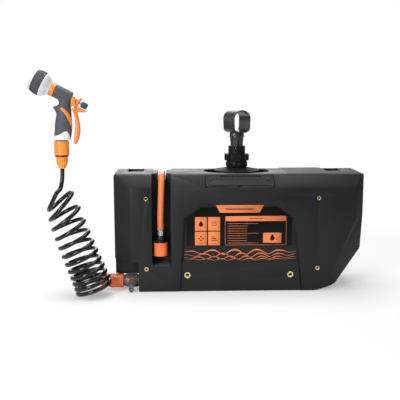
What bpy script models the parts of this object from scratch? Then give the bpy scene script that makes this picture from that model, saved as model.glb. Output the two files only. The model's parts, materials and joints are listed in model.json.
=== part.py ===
"""Portable water tank with an outlet tap, a coiled shower hose, a spray gun,
a stowed filling hose and a screw cap that carries the gun holder.

Metres, +Z up, the front faces -Y. The origin is the middle of the tank's base,
under the filler cap. Moving pieces have their origin on their joint's axis.
"""
import math

import bmesh
import bpy
import numpy as np
from mathutils import Matrix, Vector

# Clearances between pieces that seat on or in each other
SEAT = 0.0003
RUNNING = 0.0004
SEAM = 0.0010

# Tank body
TANK_LEFT = -0.305
TANK_RIGHT = 0.308
TANK_HEIGHT = 0.287
FRONT_Y = -0.085
BACK_Y = 0.084
WALL = 0.004
FRONT_CHAMFER_DEPTH = 0.030
BACK_CHAMFER = 0.014
TOP_BAND = 0.031
LEFT_BAND = 0.043
RIGHT_BAND = 0.025
EDGE_ROUND = 0.0045

# Tap bay, the open corner at the lower left, and the set-back block above it
BAY_WALL_X = -0.245
BAY_TOP_Z = 0.0402
BLOCK_FACE_Y = -0.050
BLOCK_TOP_LEFT_Z = 0.078
BLOCK_TOP_RIGHT_Z = 0.0745
BLOCK_SIDE_STEP = 0.0018

# Filling hose channel and the groove that leads over the top
CHANNEL_X = -0.189
CHANNEL_WIDTH = 0.046
CHANNEL_DEPTH = 0.044
CHANNEL_FLOOR_Z = 0.066
CHANNEL_CORNER = 0.011
BACK_CHANNEL_FLOOR_Z = 0.190
GROOVE_WIDTH = 0.021
GROOVE_FLOOR_Z = 0.2725
FILL_HOSE_X = -0.1885
FILL_HOSE_RADIUS = 0.0075
BARB_RADIUS = 0.0060
BARB_Y = 0.064
BARB_HEIGHT = 0.0100
FILL_X = -0.1915
FILL_Y = -0.066
FILL_END_Z = 0.1387
FILL_MOUTH_Z = 0.0885
CLAMP_WIDTH = 0.0125
CLAMP_BAND = 0.0014
CLAMP_TAB = 0.0065

# Label recess in the front
RECESS_TOP_Z = 0.2156
RECESS_TOP_HALF = 0.096
RECESS_SHOULDER_Z = 0.1848
RECESS_SHOULDER_HALF = 0.136
RECESS_FOOT_LEFT = 0.146
RECESS_FOOT_RIGHT = 0.157
RECESS_DEPTH = 0.0085
RECESS_LOW_DEPTH = 0.0050
RECESS_STEP_Z = 0.068
RECESS_SLOPE = 0.007
LABEL_THICKNESS = 0.0012
LABEL_BOTTOM_Z = 0.113

# Plate on the upper front band
PLATE_LEFT = -0.082
PLATE_RIGHT = 0.084
PLATE_START = 0.0035
PLATE_END = 0.0360
PLATE_EAR = 0.0035
PLATE_THICKNESS = 0.0028
PLATE_POCKET = 0.0025
PLATE_SCREW_X = 0.0695
PLATE_SCREW_DOWN = 0.0175
SCREW_RADIUS = 0.0015
SCREW_HEAD_RADIUS = 0.0032
SCREW_LENGTH = 0.0060

# Hand pockets in the top
POCKET_LEFT_X = -0.255
POCKET_RIGHT_X = 0.2465
POCKET_WIDTH = 0.040
POCKET_LENGTH = 0.064
POCKET_Y = 0.036
POCKET_DEPTH = 0.035

# Threaded brass inserts in the front: X, Z of each
SMALL_INSERTS = {
    "upper_left": (-0.226, 0.2308),
    "lower_left": (-0.226, 0.0578),
    "upper_right": (0.192, 0.2308),
    "lower_right": (0.192, 0.0578),
}
LARGE_INSERT_X = 0.1264
LARGE_INSERT_Z = 0.041
SMALL_INSERT_RADIUS = 0.0052
LARGE_INSERT_RADIUS = 0.0076
INSERT_FLANGE = 0.0010

# Filler neck, cap and gun holder, on one upright axis
AXIS_Y = 0.015
CAP_RECESS_HALF_LENGTH = 0.084
CAP_RECESS_HALF_WIDTH = 0.048
CAP_RECESS_DEPTH = 0.012
NECK_RADIUS = 0.046
MOUTH_RADIUS = 0.040
GASKET_THICKNESS = 0.0016
CAP_RADIUS = 0.058
CAP_RIM = 0.003
CAP_RISE = 0.009
CAP_BOSS_RADIUS = 0.028
CAP_PLUG_DEPTH = 0.020
CAP_WALL = 0.003
STUB_RADIUS = 0.0195
STUB_BORE = 0.0150
HOLDER_RING_RADIUS = 0.0265
HOLDER_RING_HEIGHT = 0.0170
HOLDER_NUT_RADIUS = 0.0265
HOLDER_NUT_LUG = 0.0315
HOLDER_NUT_HEIGHT = 0.0160
SOCKET_RADIUS = 0.0212
SOCKET_HEIGHT = 0.0200
SOCKET_BORE = 0.0160
POST_FOOT_RADIUS = 0.0145
POST_TOP_RADIUS = 0.0175
POST_HEIGHT = 0.0335
POST_FIN_RADIUS = 0.0215
LOOP_WIDTH = 0.054
LOOP_DEPTH = 0.043
LOOP_HEIGHT = 0.0565
LOOP_BAND = 0.003
LOOP_TURN = math.radians(34)

# Outlet tap
TAP_Y = -0.050
TAP_Z = 0.0215
TAP_RADIUS = 0.0165
TAP_BORE = 0.0050
TAP_THREAD_RADIUS = 0.0100
TAP_NUT_APOTHEM = 0.0140
TAP_BALL_RADIUS = 0.0080
TAP_STEM_AT = 0.0185
TAP_STEM_RADIUS = 0.0030
TAP_BODY_LENGTH = 0.0385
TAP_BOSS_RADIUS = 0.0095
TAP_BOSS_REACH = 0.0175
LEVER_LENGTH = 0.0255
LEVER_WIDTH = 0.0120
LEVER_THICKNESS = 0.0050
LEVER_SLANT = math.radians(45)

# Quick connectors
NIPPLE_RADIUS = 0.0080
NIPPLE_LENGTH = 0.0235
SLEEVE_RADIUS = 0.0177
SLEEVE_LENGTH = 0.0325
SLEEVE_TRAVEL = 0.0032
FLANGE_RADIUS = 0.0163
NUT_LENGTH = 0.0280
NUT_END_RADIUS = 0.0075
HOSE_INSET = 0.0200

# Coiled hose
HOSE_RADIUS = 0.0050
COIL_TURNS = 11
COIL_STEPS = 24
COIL_LEAD = 0.25
COIL_RADIUS = 0.041
COIL_TAPER = 0.003
COIL_X = -0.3507
COIL_Y = -0.108
COIL_FOOT_Z = 0.0175
COIL_LEAN = 16
COIL_CURL = 31

# Spray gun
GUN_X = -0.4205
GUN_Y = -0.095
GUN_CONNECTOR_Z = 0.371
GUN_COLLAR_Z = 0.3738
BARREL_TILT = math.radians(27.5)
BARREL_RADIUS = 0.0155
BARREL_LENGTH = 0.0400
BARREL_FRONT = (-0.4319, 0.4872)
RING_LENGTH = 0.0104
CONE_LENGTH = 0.0204
DIAL_LENGTH = 0.0270
DIAL_RADIUS = 0.0290
FACE_RADIUS = 0.0215
STEM_RADIUS = 0.0025
KNOB_RADIUS = 0.0068
KNOB_LENGTH = 0.0150
PIVOT_X = -0.3893
PIVOT_Z = 0.4484
PIVOT_RADIUS = 0.0022
TRIGGER_THICKNESS = 0.0130
GRIP_HALF_DEPTH = 0.0160
GRIP_SIDES = 16


def clear_scene():
    """Empty the open file without closing it."""
    for old in list(bpy.data.objects):
        bpy.data.objects.remove(old)


def finish(name, colour, roughness, metallic=0.0):
    """A material with one Principled shader."""
    mat = bpy.data.materials.new(name)
    mat.use_nodes = True
    shader = mat.node_tree.nodes["Principled BSDF"]
    shader.inputs["Base Color"].default_value = (*colour, 1.0)
    shader.inputs["Roughness"].default_value = roughness
    shader.inputs["Metallic"].default_value = metallic
    mat.diffuse_color = (*colour, 1.0)
    return mat


def new_object(name, bm, mat=None, place=Matrix(), smooth=35):
    """Turn a bmesh into an object at a place, with its faces pointing outwards."""
    bmesh.ops.remove_doubles(bm, verts=bm.verts, dist=1e-7)
    bmesh.ops.recalc_face_normals(bm, faces=bm.faces)
    mesh = bpy.data.meshes.new(name)
    bm.to_mesh(mesh)
    bm.free()
    mesh.shade_smooth()
    mesh.set_sharp_from_angle(angle=math.radians(smooth))
    if mat:
        mesh.materials.append(mat)
    obj = bpy.data.objects.new(name, mesh)
    bpy.context.scene.collection.objects.link(obj)
    obj.matrix_world = place
    return obj


def as_cutter(obj):
    """Mark an object as a tool that shapes others and isn't a piece."""
    obj.hide_render = True
    obj.display_type = "WIRE"
    return obj


def combine(target, tool, operation="DIFFERENCE"):
    """Cut, join or intersect the target with a tool object."""
    step = target.modifiers.new(operation.title(), "BOOLEAN")
    step.operation = operation
    step.solver = "EXACT"
    step.object = as_cutter(tool)
    return target


def axis_frame(origin, direction, up=(0, 0, 1)):
    """A placement whose local Z runs along a direction."""
    z = Vector(direction).normalized()
    x = Vector(up).cross(z)
    x = x.normalized() if x.length > 1e-6 else Vector((1, 0, 0))
    y = z.cross(x)
    turn = Matrix((x, y, z)).transposed().to_4x4()
    return Matrix.Translation(Vector(origin)) @ turn


def loft(name, rings, mat=None, place=Matrix(), smooth=35, closed=False):
    """Skin a list of equal rings; the two end rings are filled unless it is closed on itself."""
    bm = bmesh.new()
    loops = [[bm.verts.new(point) for point in ring] for ring in rings]
    pairs = list(zip(loops, loops[1:]))
    if closed:
        pairs.append((loops[-1], loops[0]))
    count = len(loops[0])
    for lower, upper in pairs:
        for i in range(count):
            j = (i + 1) % count
            bm.faces.new((lower[i], lower[j], upper[j], upper[i]))
    if not closed:
        bm.faces.new(loops[0])
        bm.faces.new(loops[-1])
    return new_object(name, bm, mat, place, smooth)


def circle(radius, height, segments, lobes=0, depth=0.0):
    """A ring of points at a height, with an optional number of lobes."""
    points = []
    for i in range(segments):
        angle = math.tau * (i + 0.5) / segments
        r = radius + depth * math.cos(lobes * angle) if lobes else radius
        points.append((r * math.cos(angle), r * math.sin(angle), height))
    return points


def turned(name, profile, segments, mat=None, place=Matrix(), smooth=35):
    """Turn a profile of (radius, height) about local Z.

    A profile that starts and ends at radius 0 is solid; any other is closed on itself,
    as a ring or a tube is.
    """
    solid = profile[0][0] == 0 and profile[-1][0] == 0
    inner = profile[1:-1] if solid else profile
    rings = [circle(radius, height, segments) for radius, height in inner]
    return loft(name, rings, mat, place, smooth, closed=not solid)


def hex_ring(name, bore, apothem, low, high, mat, place):
    """A six-sided nut with a round bore."""
    def flats(level):
        points = []
        for i in range(24):
            angle = math.tau * i / 24
            reach = apothem / math.cos((angle % (math.pi / 3)) - math.pi / 6)
            points.append((reach * math.cos(angle), reach * math.sin(angle), level))
        return points

    def hole(level):
        return [(bore * math.cos(math.tau * i / 24), bore * math.sin(math.tau * i / 24), level)
                for i in range(24)]

    return loft(name, [hole(low), flats(low), flats(high), hole(high)], mat, place, 20, True)


def rod(name, radius, low, high, segments, mat=None, place=Matrix()):
    """A plain cylinder from one height to another."""
    return turned(name, [(0, low), (radius, low), (radius, high), (0, high)],
                  segments, mat, place)


def prism(name, outline, low, high, mat=None, place=Matrix(), smooth=35):
    """Raise a flat outline of (x, y) from one height to another along local Z."""
    rings = [[(x, y, level) for x, y in outline] for level in (low, high)]
    return loft(name, rings, mat, place, smooth)


def front_frame(x=0.0, z=0.0):
    """A placement whose local X is +X, local Y is +Z and local Z points to the viewer, -Y."""
    return Matrix(((1, 0, 0, x), (0, 0, -1, 0), (0, 1, 0, z), (0, 0, 0, 1)))


def offset(outline, distance):
    """Move each side of an anticlockwise outline inwards by a distance."""
    count = len(outline)
    moved = []
    for i in range(count):
        before = Vector(outline[i]) - Vector(outline[i - 1])
        after = Vector(outline[(i + 1) % count]) - Vector(outline[i])
        n0 = Vector((-before.y, before.x)).normalized()
        n1 = Vector((-after.y, after.x)).normalized()
        middle = (n0 + n1).normalized()
        reach = distance / max(middle.dot(n0), 0.3)
        moved.append(tuple(Vector(outline[i]) + middle * reach))
    return moved


def arc(centre, radius, start, end, steps):
    """Points along an arc, both ends included, angles in degrees."""
    points = []
    for i in range(steps + 1):
        angle = math.radians(start + (end - start) * i / steps)
        points.append((centre[0] + radius * math.cos(angle),
                       centre[1] + radius * math.sin(angle)))
    return points


def smooth_route(controls, count):
    """Read evenly spaced points from a Catmull-Rom curve through the control points."""
    knots = np.array([2 * np.array(controls[0]) - controls[1], *controls,
                      2 * np.array(controls[-1]) - controls[-2]], float)
    fine = []
    for p0, p1, p2, p3 in zip(knots, knots[1:], knots[2:], knots[3:]):
        for t in np.linspace(0, 1, 24, endpoint=False):
            fine.append(0.5 * (2 * p1 + (p2 - p0) * t + (2 * p0 - 5 * p1 + 4 * p2 - p3) * t**2
                               + (3 * p1 - p0 - 3 * p2 + p3) * t**3))
    fine = np.array([*fine, knots[-2]])
    along = np.concatenate([[0], np.cumsum(np.linalg.norm(np.diff(fine, axis=0), axis=1))])
    wanted = np.linspace(0, along[-1], count)
    return np.stack([np.interp(wanted, along, fine[:, i]) for i in range(3)], axis=1)


def tube(name, points, radius, mat, resolution=2):
    """A round solid that follows a list of points."""
    curve = bpy.data.curves.new(name, "CURVE")
    curve.dimensions = "3D"
    curve.bevel_depth = radius
    curve.bevel_resolution = resolution
    curve.use_fill_caps = True
    spline = curve.splines.new("POLY")
    spline.points.add(len(points) - 1)
    for knot, point in zip(spline.points, points):
        knot.co = (*point, 1.0)
    spline.use_smooth = True
    curve.materials.append(mat)
    obj = bpy.data.objects.new(name, curve)
    bpy.context.scene.collection.objects.link(obj)
    return obj


# Corners of the tank's outline, anticlockwise from the front, as distances in from the right
# end and heights: the right end is cut away towards the base.
SIDE_CORNERS = ((0.086, 0.0), (0.065, 0.009), (0.004, 0.101), (0.0, 0.185))
FRONT_CORNERS = ((0.122, 0.0), (0.104, 0.008), (0.068, 0.080), (0.0, 0.179))


def tank_outline(corners, left, right, top):
    """One section of the tank in X and Z, from the lower left corner round."""
    lower = [(TANK_RIGHT - max(inwards, right), height) for inwards, height in corners]
    return [(TANK_LEFT + left, 0.0), *lower,
            (TANK_RIGHT - right, TANK_HEIGHT - top), (TANK_LEFT + left, TANK_HEIGHT - top)]


def tank_sections(inset):
    """The tank's four sections from front to back, drawn in on every side by an inset."""
    side = tank_outline(SIDE_CORNERS, 0, 0, 0)
    back = [(x + (BACK_CHAMFER if x < 0 else -BACK_CHAMFER), z) for x, z in side]
    back = [(x, min(z, TANK_HEIGHT - BACK_CHAMFER)) for x, z in back]
    front = tank_outline(FRONT_CORNERS, LEFT_BAND, RIGHT_BAND, TOP_BAND)
    depths = ((front, FRONT_Y + inset), (side, FRONT_Y + FRONT_CHAMFER_DEPTH),
              (side, BACK_Y - BACK_CHAMFER), (back, BACK_Y - inset))
    return [[(x, y, z) for x, z in offset(outline, inset)] for outline, y in depths]


def block(name, low, high, mat=None):
    """A box between two corners."""
    corners = [(low[0], low[1]), (high[0], low[1]), (high[0], high[1]), (low[0], high[1])]
    return prism(name, corners, low[2], high[2], mat)


def front_prism(name, outline, near_y, far_y, mat=None, smooth=35):
    """Raise an outline drawn in X and Z from one Y to another."""
    return prism(name, outline, -far_y, -near_y, mat, front_frame(), smooth)


def rounded_box(half_x, half_y, corner, steps=2):
    """A rectangle with rounded corners, anticlockwise about its middle."""
    x, y = half_x - corner, half_y - corner
    return (arc((x, y), corner, 0, 90, steps) + arc((-x, y), corner, 90, 180, steps)
            + arc((-x, -y), corner, 180, 270, steps) + arc((x, -y), corner, 270, 360, steps))


def channel_outline(floor, grow):
    """The hose channel in X and Z: open at the top, with rounded lower corners."""
    half = CHANNEL_WIDTH / 2 + grow
    corner = CHANNEL_CORNER + grow
    floor -= grow
    above = TANK_HEIGHT + CHANNEL_WIDTH
    left, right = CHANNEL_X - half, CHANNEL_X + half
    return ([(right, above), (left, above)]
            + arc((left + corner, floor + corner), corner, 180, 270, 3)
            + arc((right - corner, floor + corner), corner, 270, 360, 3))


def front_channel(grow):
    """The channel in the front that the filling hose hangs in."""
    return front_prism("channel_tool", channel_outline(CHANNEL_FLOOR_Z, grow),
                       FRONT_Y - WALL, FRONT_Y + CHANNEL_DEPTH + grow)


def back_channel(grow):
    """The shorter channel in the back, where the filling hose is plugged on."""
    return front_prism("back_channel_tool", channel_outline(BACK_CHANNEL_FLOOR_Z, grow),
                       BACK_Y - CHANNEL_DEPTH - grow, BACK_Y + WALL)


def top_groove(grow):
    """The groove that leads the filling hose over the top."""
    half = GROOVE_WIDTH / 2 + grow
    return block("groove_tool", (FILL_HOSE_X - half, FRONT_Y, GROOVE_FLOOR_Z - grow),
                 (FILL_HOSE_X + half, BACK_Y, TANK_HEIGHT + GROOVE_WIDTH))


def tap_bay(grow):
    """The open corner that the outlet tap stands in."""
    return block("bay_tool", (TANK_LEFT - WALL, FRONT_Y - WALL, -WALL),
                 (BAY_WALL_X + grow, BACK_Y + WALL, BAY_TOP_Z + grow))


def set_back_block(grow):
    """The face above the tap bay stands behind the front, under a sloping edge."""
    slope = [(TANK_LEFT - WALL, 0.0), (BAY_WALL_X + grow, 0.0),
             (BAY_WALL_X + grow, BLOCK_TOP_RIGHT_Z + grow),
             (TANK_LEFT - WALL, BLOCK_TOP_LEFT_Z + grow)]
    return front_prism("block_tool", slope, FRONT_Y - WALL, BLOCK_FACE_Y + grow)


def block_side(grow):
    """The block's left side stands a step in from the tank's side."""
    return block("block_side_tool", (TANK_LEFT - WALL, FRONT_Y - WALL, 0.0),
                 (TANK_LEFT + BLOCK_SIDE_STEP + grow, BACK_Y + WALL, BLOCK_TOP_LEFT_Z + grow))


def recess_outline(bottom):
    """The label recess in X and Z down to a height: cut top corners, flaring sides."""
    share = (RECESS_SHOULDER_Z - bottom) / RECESS_SHOULDER_Z
    left = RECESS_SHOULDER_HALF + (RECESS_FOOT_LEFT - RECESS_SHOULDER_HALF) * share
    right = RECESS_SHOULDER_HALF + (RECESS_FOOT_RIGHT - RECESS_SHOULDER_HALF) * share
    return [(-left, bottom), (right, bottom), (RECESS_SHOULDER_HALF, RECESS_SHOULDER_Z),
            (RECESS_TOP_HALF, RECESS_TOP_Z), (-RECESS_TOP_HALF, RECESS_TOP_Z),
            (-RECESS_SHOULDER_HALF, RECESS_SHOULDER_Z)]


def recess_tool(name, bottom, depth, grow):
    """A recess with sloping walls, cut from the front to a depth."""
    outer = offset(recess_outline(bottom), -grow)
    inner = offset(recess_outline(bottom), RECESS_SLOPE * depth / RECESS_DEPTH - grow)
    rings = [[(x, y, z) for x, z in outline] for outline, y in
             ((outer, FRONT_Y - WALL), (outer, FRONT_Y), (inner, FRONT_Y + depth + grow))]
    return loft(name, rings)


def label_recess(grow):
    """The deeper field behind the label."""
    return recess_tool("recess_tool", RECESS_STEP_Z, RECESS_DEPTH, grow)


def lower_recess(grow):
    """The shallower field that runs out at the base."""
    return recess_tool("low_recess_tool", -RECESS_SLOPE - 2 * WALL, RECESS_LOW_DEPTH, grow)


def band_frame(x=0.0, down=0.0):
    """A placement on the upper front band: local Y runs up the slope, local Z stands off it."""
    slope = Vector((0, FRONT_CHAMFER_DEPTH, TOP_BAND)).normalized()
    across = Vector((1, 0, 0))
    out = across.cross(slope)
    origin = Vector((x, FRONT_Y + FRONT_CHAMFER_DEPTH, TANK_HEIGHT)) - slope * down
    return Matrix.Translation(origin) @ Matrix((across, slope, out)).transposed().to_4x4()


def plate_outline():
    """The top plate: its lower edge is drawn up between two pointed ears."""
    ear = PLATE_END + PLATE_EAR
    run = 2.5 * PLATE_EAR
    return [(PLATE_LEFT, -ear), (PLATE_LEFT + run, -PLATE_END), (PLATE_RIGHT - run, -PLATE_END),
            (PLATE_RIGHT, -ear), (PLATE_RIGHT, -PLATE_START), (PLATE_LEFT, -PLATE_START)]


def plate_pocket(grow):
    """The pocket that the top plate lies in."""
    return prism("plate_tool", offset(plate_outline(), -SEAM - grow),
                 -PLATE_POCKET - grow, PLATE_POCKET + WALL, None, band_frame())


def plate_notch(grow):
    """The fingernail notch under the top plate's lower edge."""
    return rod("plate_notch_tool", PLATE_EAR + SEAM + grow, -PLATE_POCKET - grow, WALL, 12,
               None, band_frame(0.0, PLATE_END))


def screw_hole(side):
    """A hole for one of the plate's screws."""
    def tool(grow):
        return rod("screw_hole_tool", SCREW_RADIUS + SEAT + grow,
                   -SCREW_LENGTH - SEAT - grow, WALL, 10, None,
                   band_frame(side * PLATE_SCREW_X, PLATE_SCREW_DOWN))
    return tool


def stadium(half_length, half_width, steps=7):
    """An oblong with round ends, anticlockwise."""
    x = half_length - half_width
    return (arc((x, 0), half_width, -90, 90, steps)
            + arc((-x, 0), half_width, 90, 270, steps))


def cap_recess(grow):
    """The oblong finger recess round the filler neck."""
    floor = TANK_HEIGHT - CAP_RECESS_DEPTH
    tool = prism("cap_recess_tool",
                 stadium(CAP_RECESS_HALF_LENGTH + grow, CAP_RECESS_HALF_WIDTH + grow),
                 floor - grow, TANK_HEIGHT + WALL, None, Matrix.Translation((0, AXIS_Y, 0)))
    if grow == 0:
        neck = rod("neck_tool", NECK_RADIUS, floor - WALL,
                   TANK_HEIGHT - GASKET_THICKNESS - SEAT, 32, None,
                   Matrix.Translation((0, AXIS_Y, 0)))
        combine(tool, neck)
    return tool


def hand_pocket(x):
    """A hand pocket in the top, at one end of the tank."""
    def tool(grow):
        return prism("pocket_tool", rounded_box(POCKET_WIDTH / 2 + grow,
                                                POCKET_LENGTH / 2 + grow, 0.005 + grow),
                     TANK_HEIGHT - POCKET_DEPTH - grow, TANK_HEIGHT + WALL, None,
                     Matrix.Translation((x, POCKET_Y, 0)))
    return tool


def insert_hole(x, z, radius, face_y):
    """A blind hole for a brass insert, with a boss of wall round it."""
    def tool(grow):
        boss = 0.75 * grow
        return rod("insert_hole_tool", 0.72 * radius + SEAT + boss,
                   -face_y - 1.4 * radius - SEAT - boss, -FRONT_Y + WALL, 12, None,
                   front_frame(x, z))
    return tool


def low_recess_face():
    """Where the lower field of the recess stands."""
    return FRONT_Y + RECESS_LOW_DEPTH


def insert_places():
    """Name, X, Z, flange radius and face of each brass insert."""
    places = [(f"brass_insert_{name}", x, z, SMALL_INSERT_RADIUS, FRONT_Y)
              for name, (x, z) in SMALL_INSERTS.items()]
    for name, side in (("left", -1), ("right", 1)):
        places.append((f"large_insert_{name}", side * LARGE_INSERT_X, LARGE_INSERT_Z,
                       LARGE_INSERT_RADIUS, low_recess_face()))
    return places


def tank_shell(mat):
    """The blow-moulded tank: a mitred outer form less the water space inside it."""
    shell = loft("tank_shell", tank_sections(0), mat, smooth=20)
    rounding = shell.modifiers.new("Edges", "BEVEL")
    rounding.width = EDGE_ROUND
    rounding.segments = 2
    rounding.limit_method = "ANGLE"
    rounding.angle_limit = math.radians(25)
    water = loft("water_space", tank_sections(WALL))
    shaping = [front_channel, back_channel, top_groove, tap_bay, set_back_block, block_side,
               label_recess, lower_recess, plate_pocket, plate_notch, screw_hole(-1),
               screw_hole(1), cap_recess, hand_pocket(POCKET_LEFT_X),
               hand_pocket(POCKET_RIGHT_X)]
    shaping += [insert_hole(x, z, radius, face) for _, x, z, radius, face in insert_places()]
    for tool in shaping:
        combine(shell, tool(0))
        combine(water, tool(WALL))
    combine(shell, water)
    combine(shell, rod("mouth_tool", MOUTH_RADIUS, TANK_HEIGHT - CAP_RECESS_DEPTH - 2 * WALL,
                       TANK_HEIGHT + WALL, 32, None, Matrix.Translation((0, AXIS_Y, 0))))
    combine(shell, rod("tap_hole_tool", TAP_THREAD_RADIUS + SEAT, -2 * WALL, WALL, 20, None,
                       tap_frame()))
    combine(shell, rod("barb_hole_tool", BARB_RADIUS + SEAT, -2 * WALL, WALL, 16, None,
                       Matrix.Translation((FILL_HOSE_X, BARB_Y, BACK_CHANNEL_FLOOR_Z))))
    return shell


def brass_inserts(mat):
    """Threaded inserts, each with a flange that stands on the face."""
    for name, x, z, radius, face in insert_places():
        barrel = 0.72 * radius
        bore = 0.46 * radius
        deep = 1.3 * radius
        low = -face + SEAT
        turned(name, [(0, low - deep), (barrel, low - deep), (barrel, low), (radius, low),
                      (radius, low + INSERT_FLANGE), (bore, low + INSERT_FLANGE),
                      (bore, low - 0.8 * deep), (0, low - 0.8 * deep)],
               12, mat, front_frame(x, z))


def top_plate(mat, screw_mat):
    """The cover plate on the upper front band and its two screws."""
    plate = prism("top_plate", plate_outline(), SEAT - PLATE_POCKET,
                  PLATE_THICKNESS + SEAT - PLATE_POCKET, mat, band_frame())
    head = PLATE_THICKNESS - PLATE_POCKET + 2 * SEAT
    for name, side in (("left", -1), ("right", 1)):
        place = band_frame(side * PLATE_SCREW_X, PLATE_SCREW_DOWN)
        combine(plate, rod(f"plate_hole_{name}", SCREW_RADIUS + RUNNING, -WALL, WALL, 12,
                           None, place))
        turned(f"plate_screw_{name}",
               [(0, -SCREW_LENGTH), (SCREW_RADIUS, -SCREW_LENGTH), (SCREW_RADIUS, head),
                (SCREW_HEAD_RADIUS, head), (0.85 * SCREW_HEAD_RADIUS, head + 0.0013),
                (0.4 * SCREW_HEAD_RADIUS, head + 0.0013),
                (0.4 * SCREW_HEAD_RADIUS, head + 0.0005), (0, head + 0.0005)],
               12, screw_mat, place)


def label_plate(mat):
    """The thin label that lies in the recess, with its top corners cut alike."""
    inner = offset(recess_outline(RECESS_STEP_Z), RECESS_SLOPE + SEAM)
    top = inner[2:]
    edge = top[0][0]
    outline = [(-edge, LABEL_BOTTOM_Z), (edge, LABEL_BOTTOM_Z), *top]
    face = FRONT_Y + RECESS_DEPTH - SEAT
    front_prism("label_plate", outline, face - LABEL_THICKNESS, face, mat)


# Filling hose: it is plugged on at the back, runs over the top and hangs down in front
FILL_ROUTE = (
    (FILL_HOSE_X, BARB_Y, 0.2003), (FILL_HOSE_X, BARB_Y, 0.2150),
    (FILL_HOSE_X, BARB_Y, 0.2350), (FILL_HOSE_X, BARB_Y, 0.2530),
    (FILL_HOSE_X, 0.0605, 0.2675), (FILL_HOSE_X, 0.0505, 0.2777),
    (FILL_HOSE_X, 0.0370, 0.2815), (FILL_HOSE_X, 0.0120, 0.2815),
    (FILL_HOSE_X, -0.0140, 0.2815), (FILL_HOSE_X, -0.0385, 0.2815),
    (FILL_HOSE_X, -0.0525, 0.2777), (-0.1890, -0.0625, 0.2675),
    (-0.1892, -0.0662, 0.2530), (-0.1902, -0.0668, 0.2250),
    (-0.1912, -0.0666, 0.1980), (-0.1919, -0.0661, 0.1760),
    (FILL_X, FILL_Y, 0.1590), (FILL_X, FILL_Y, FILL_END_Z),
)


def hose_clamp(name, centre, mat):
    """A spring band round the hose, with an ear and two tabs to grip it by at its front."""
    inner = FILL_HOSE_RADIUS + SEAT
    outer = inner + CLAMP_BAND
    place = Matrix.Translation(centre)
    band = turned(name, [(inner, 0), (outer, 0), (outer, CLAMP_WIDTH), (inner, CLAMP_WIDTH)],
                  16, mat, place)
    ear = prism(f"{name}_ear", rounded_box(0.0038, 0.0022, 0.0015, 1), 0.15 * CLAMP_WIDTH,
                0.85 * CLAMP_WIDTH, mat, place @ Matrix.Translation((0, -outer, 0)))
    combine(band, ear, "UNION")
    for side in (-1, 1):
        low = (0.0018 * side - 0.0010, -outer - 0.0012, 0.6 * CLAMP_WIDTH)
        high = (0.0018 * side + 0.0010, -outer + 0.0003, CLAMP_WIDTH + CLAMP_TAB)
        tab = block(f"{name}_tab", low, high, mat)
        tab.matrix_world = place
        combine(band, tab, "UNION")
    combine(band, rod(f"{name}_bore", inner, -WALL, CLAMP_WIDTH + WALL, 16, None, place))


def filling_hose(hose_mat, steel, dark):
    """The stowed filling hose, its clamps and the fitting it is plugged on at the back."""
    tube("fill_hose", smooth_route(FILL_ROUTE, 28), FILL_HOSE_RADIUS, hose_mat, 2)
    hose_clamp("fill_clamp", (FILL_X, FILL_Y, FILL_END_Z + SEAT), steel)
    top = BACK_CHANNEL_FLOOR_Z + BARB_HEIGHT
    hose_clamp("back_clamp", (FILL_HOSE_X, BARB_Y, top + 2 * SEAT), steel)
    low = BACK_CHANNEL_FLOOR_Z + SEAT
    turned("fill_fitting",
           [(0.6 * BARB_RADIUS, low - 0.016), (BARB_RADIUS, low - 0.016), (BARB_RADIUS, low),
            (2 * BARB_RADIUS, low), (2 * BARB_RADIUS, low + 0.006),
            (1.1 * BARB_RADIUS, low + 0.006), (1.1 * BARB_RADIUS, top),
            (0.6 * BARB_RADIUS, top)],
           14, dark, Matrix.Translation((FILL_HOSE_X, BARB_Y, 0)))
    hex_ring("fill_lock_nut", BARB_RADIUS + SEAT, 1.75 * BARB_RADIUS, low - 0.011,
             low - WALL - 2 * SEAT, dark, Matrix.Translation((FILL_HOSE_X, BARB_Y, 0)))


def connector(prefix, place, orange, dark, hose_radius):
    """A quick connector: local Z runs from its mouth to the hose.

    The core holds the nipple, the locking sleeve slides on it and over the core's flange,
    and the nut grips the hose. Returns where the hose ends inside the nut.
    """
    bore = NIPPLE_RADIUS + SEAT
    core = SLEEVE_RADIUS - 0.0032
    socket = NIPPLE_LENGTH + 0.0015
    end = SLEEVE_LENGTH + SLEEVE_TRAVEL + 2 * SEAT
    hose = end + HOSE_INSET - 0.0085
    hollow = SLEEVE_LENGTH - SLEEVE_TRAVEL - RUNNING
    turned(f"{prefix}_sleeve",
           [(core + RUNNING, 0.0), (SLEEVE_RADIUS - 0.0010, 0.0), (SLEEVE_RADIUS, 0.0015),
            (SLEEVE_RADIUS - 0.0006, 0.80 * SLEEVE_LENGTH), (SLEEVE_RADIUS, SLEEVE_LENGTH),
            (FLANGE_RADIUS + RUNNING, SLEEVE_LENGTH), (FLANGE_RADIUS + RUNNING, hollow),
            (core + RUNNING, hollow)],
           18, orange, place)
    turned(f"{prefix}_core",
           [(bore, 0.0008), (core, 0.0008), (core, SLEEVE_LENGTH + SEAT),
            (FLANGE_RADIUS, SLEEVE_LENGTH + SEAT), (FLANGE_RADIUS, end), (0.0095, end),
            (0.0095, hose - 0.0035), (0.0030, hose - 0.0035), (0.0030, socket), (bore, socket)],
           18, dark, place)
    nut = end + SEAT
    turned(f"{prefix}_nut",
           [(0.0095 + SEAT, nut), (0.0136, nut), (0.0132, nut + 0.55 * NUT_LENGTH),
            (0.0085, nut + 0.88 * NUT_LENGTH), (NUT_END_RADIUS, nut + NUT_LENGTH),
            (hose_radius + SEAT, nut + NUT_LENGTH), (hose_radius + SEAT, hose - 0.0005),
            (0.0095 + SEAT, hose - 0.0030)],
           16, orange, place)
    return hose


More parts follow.
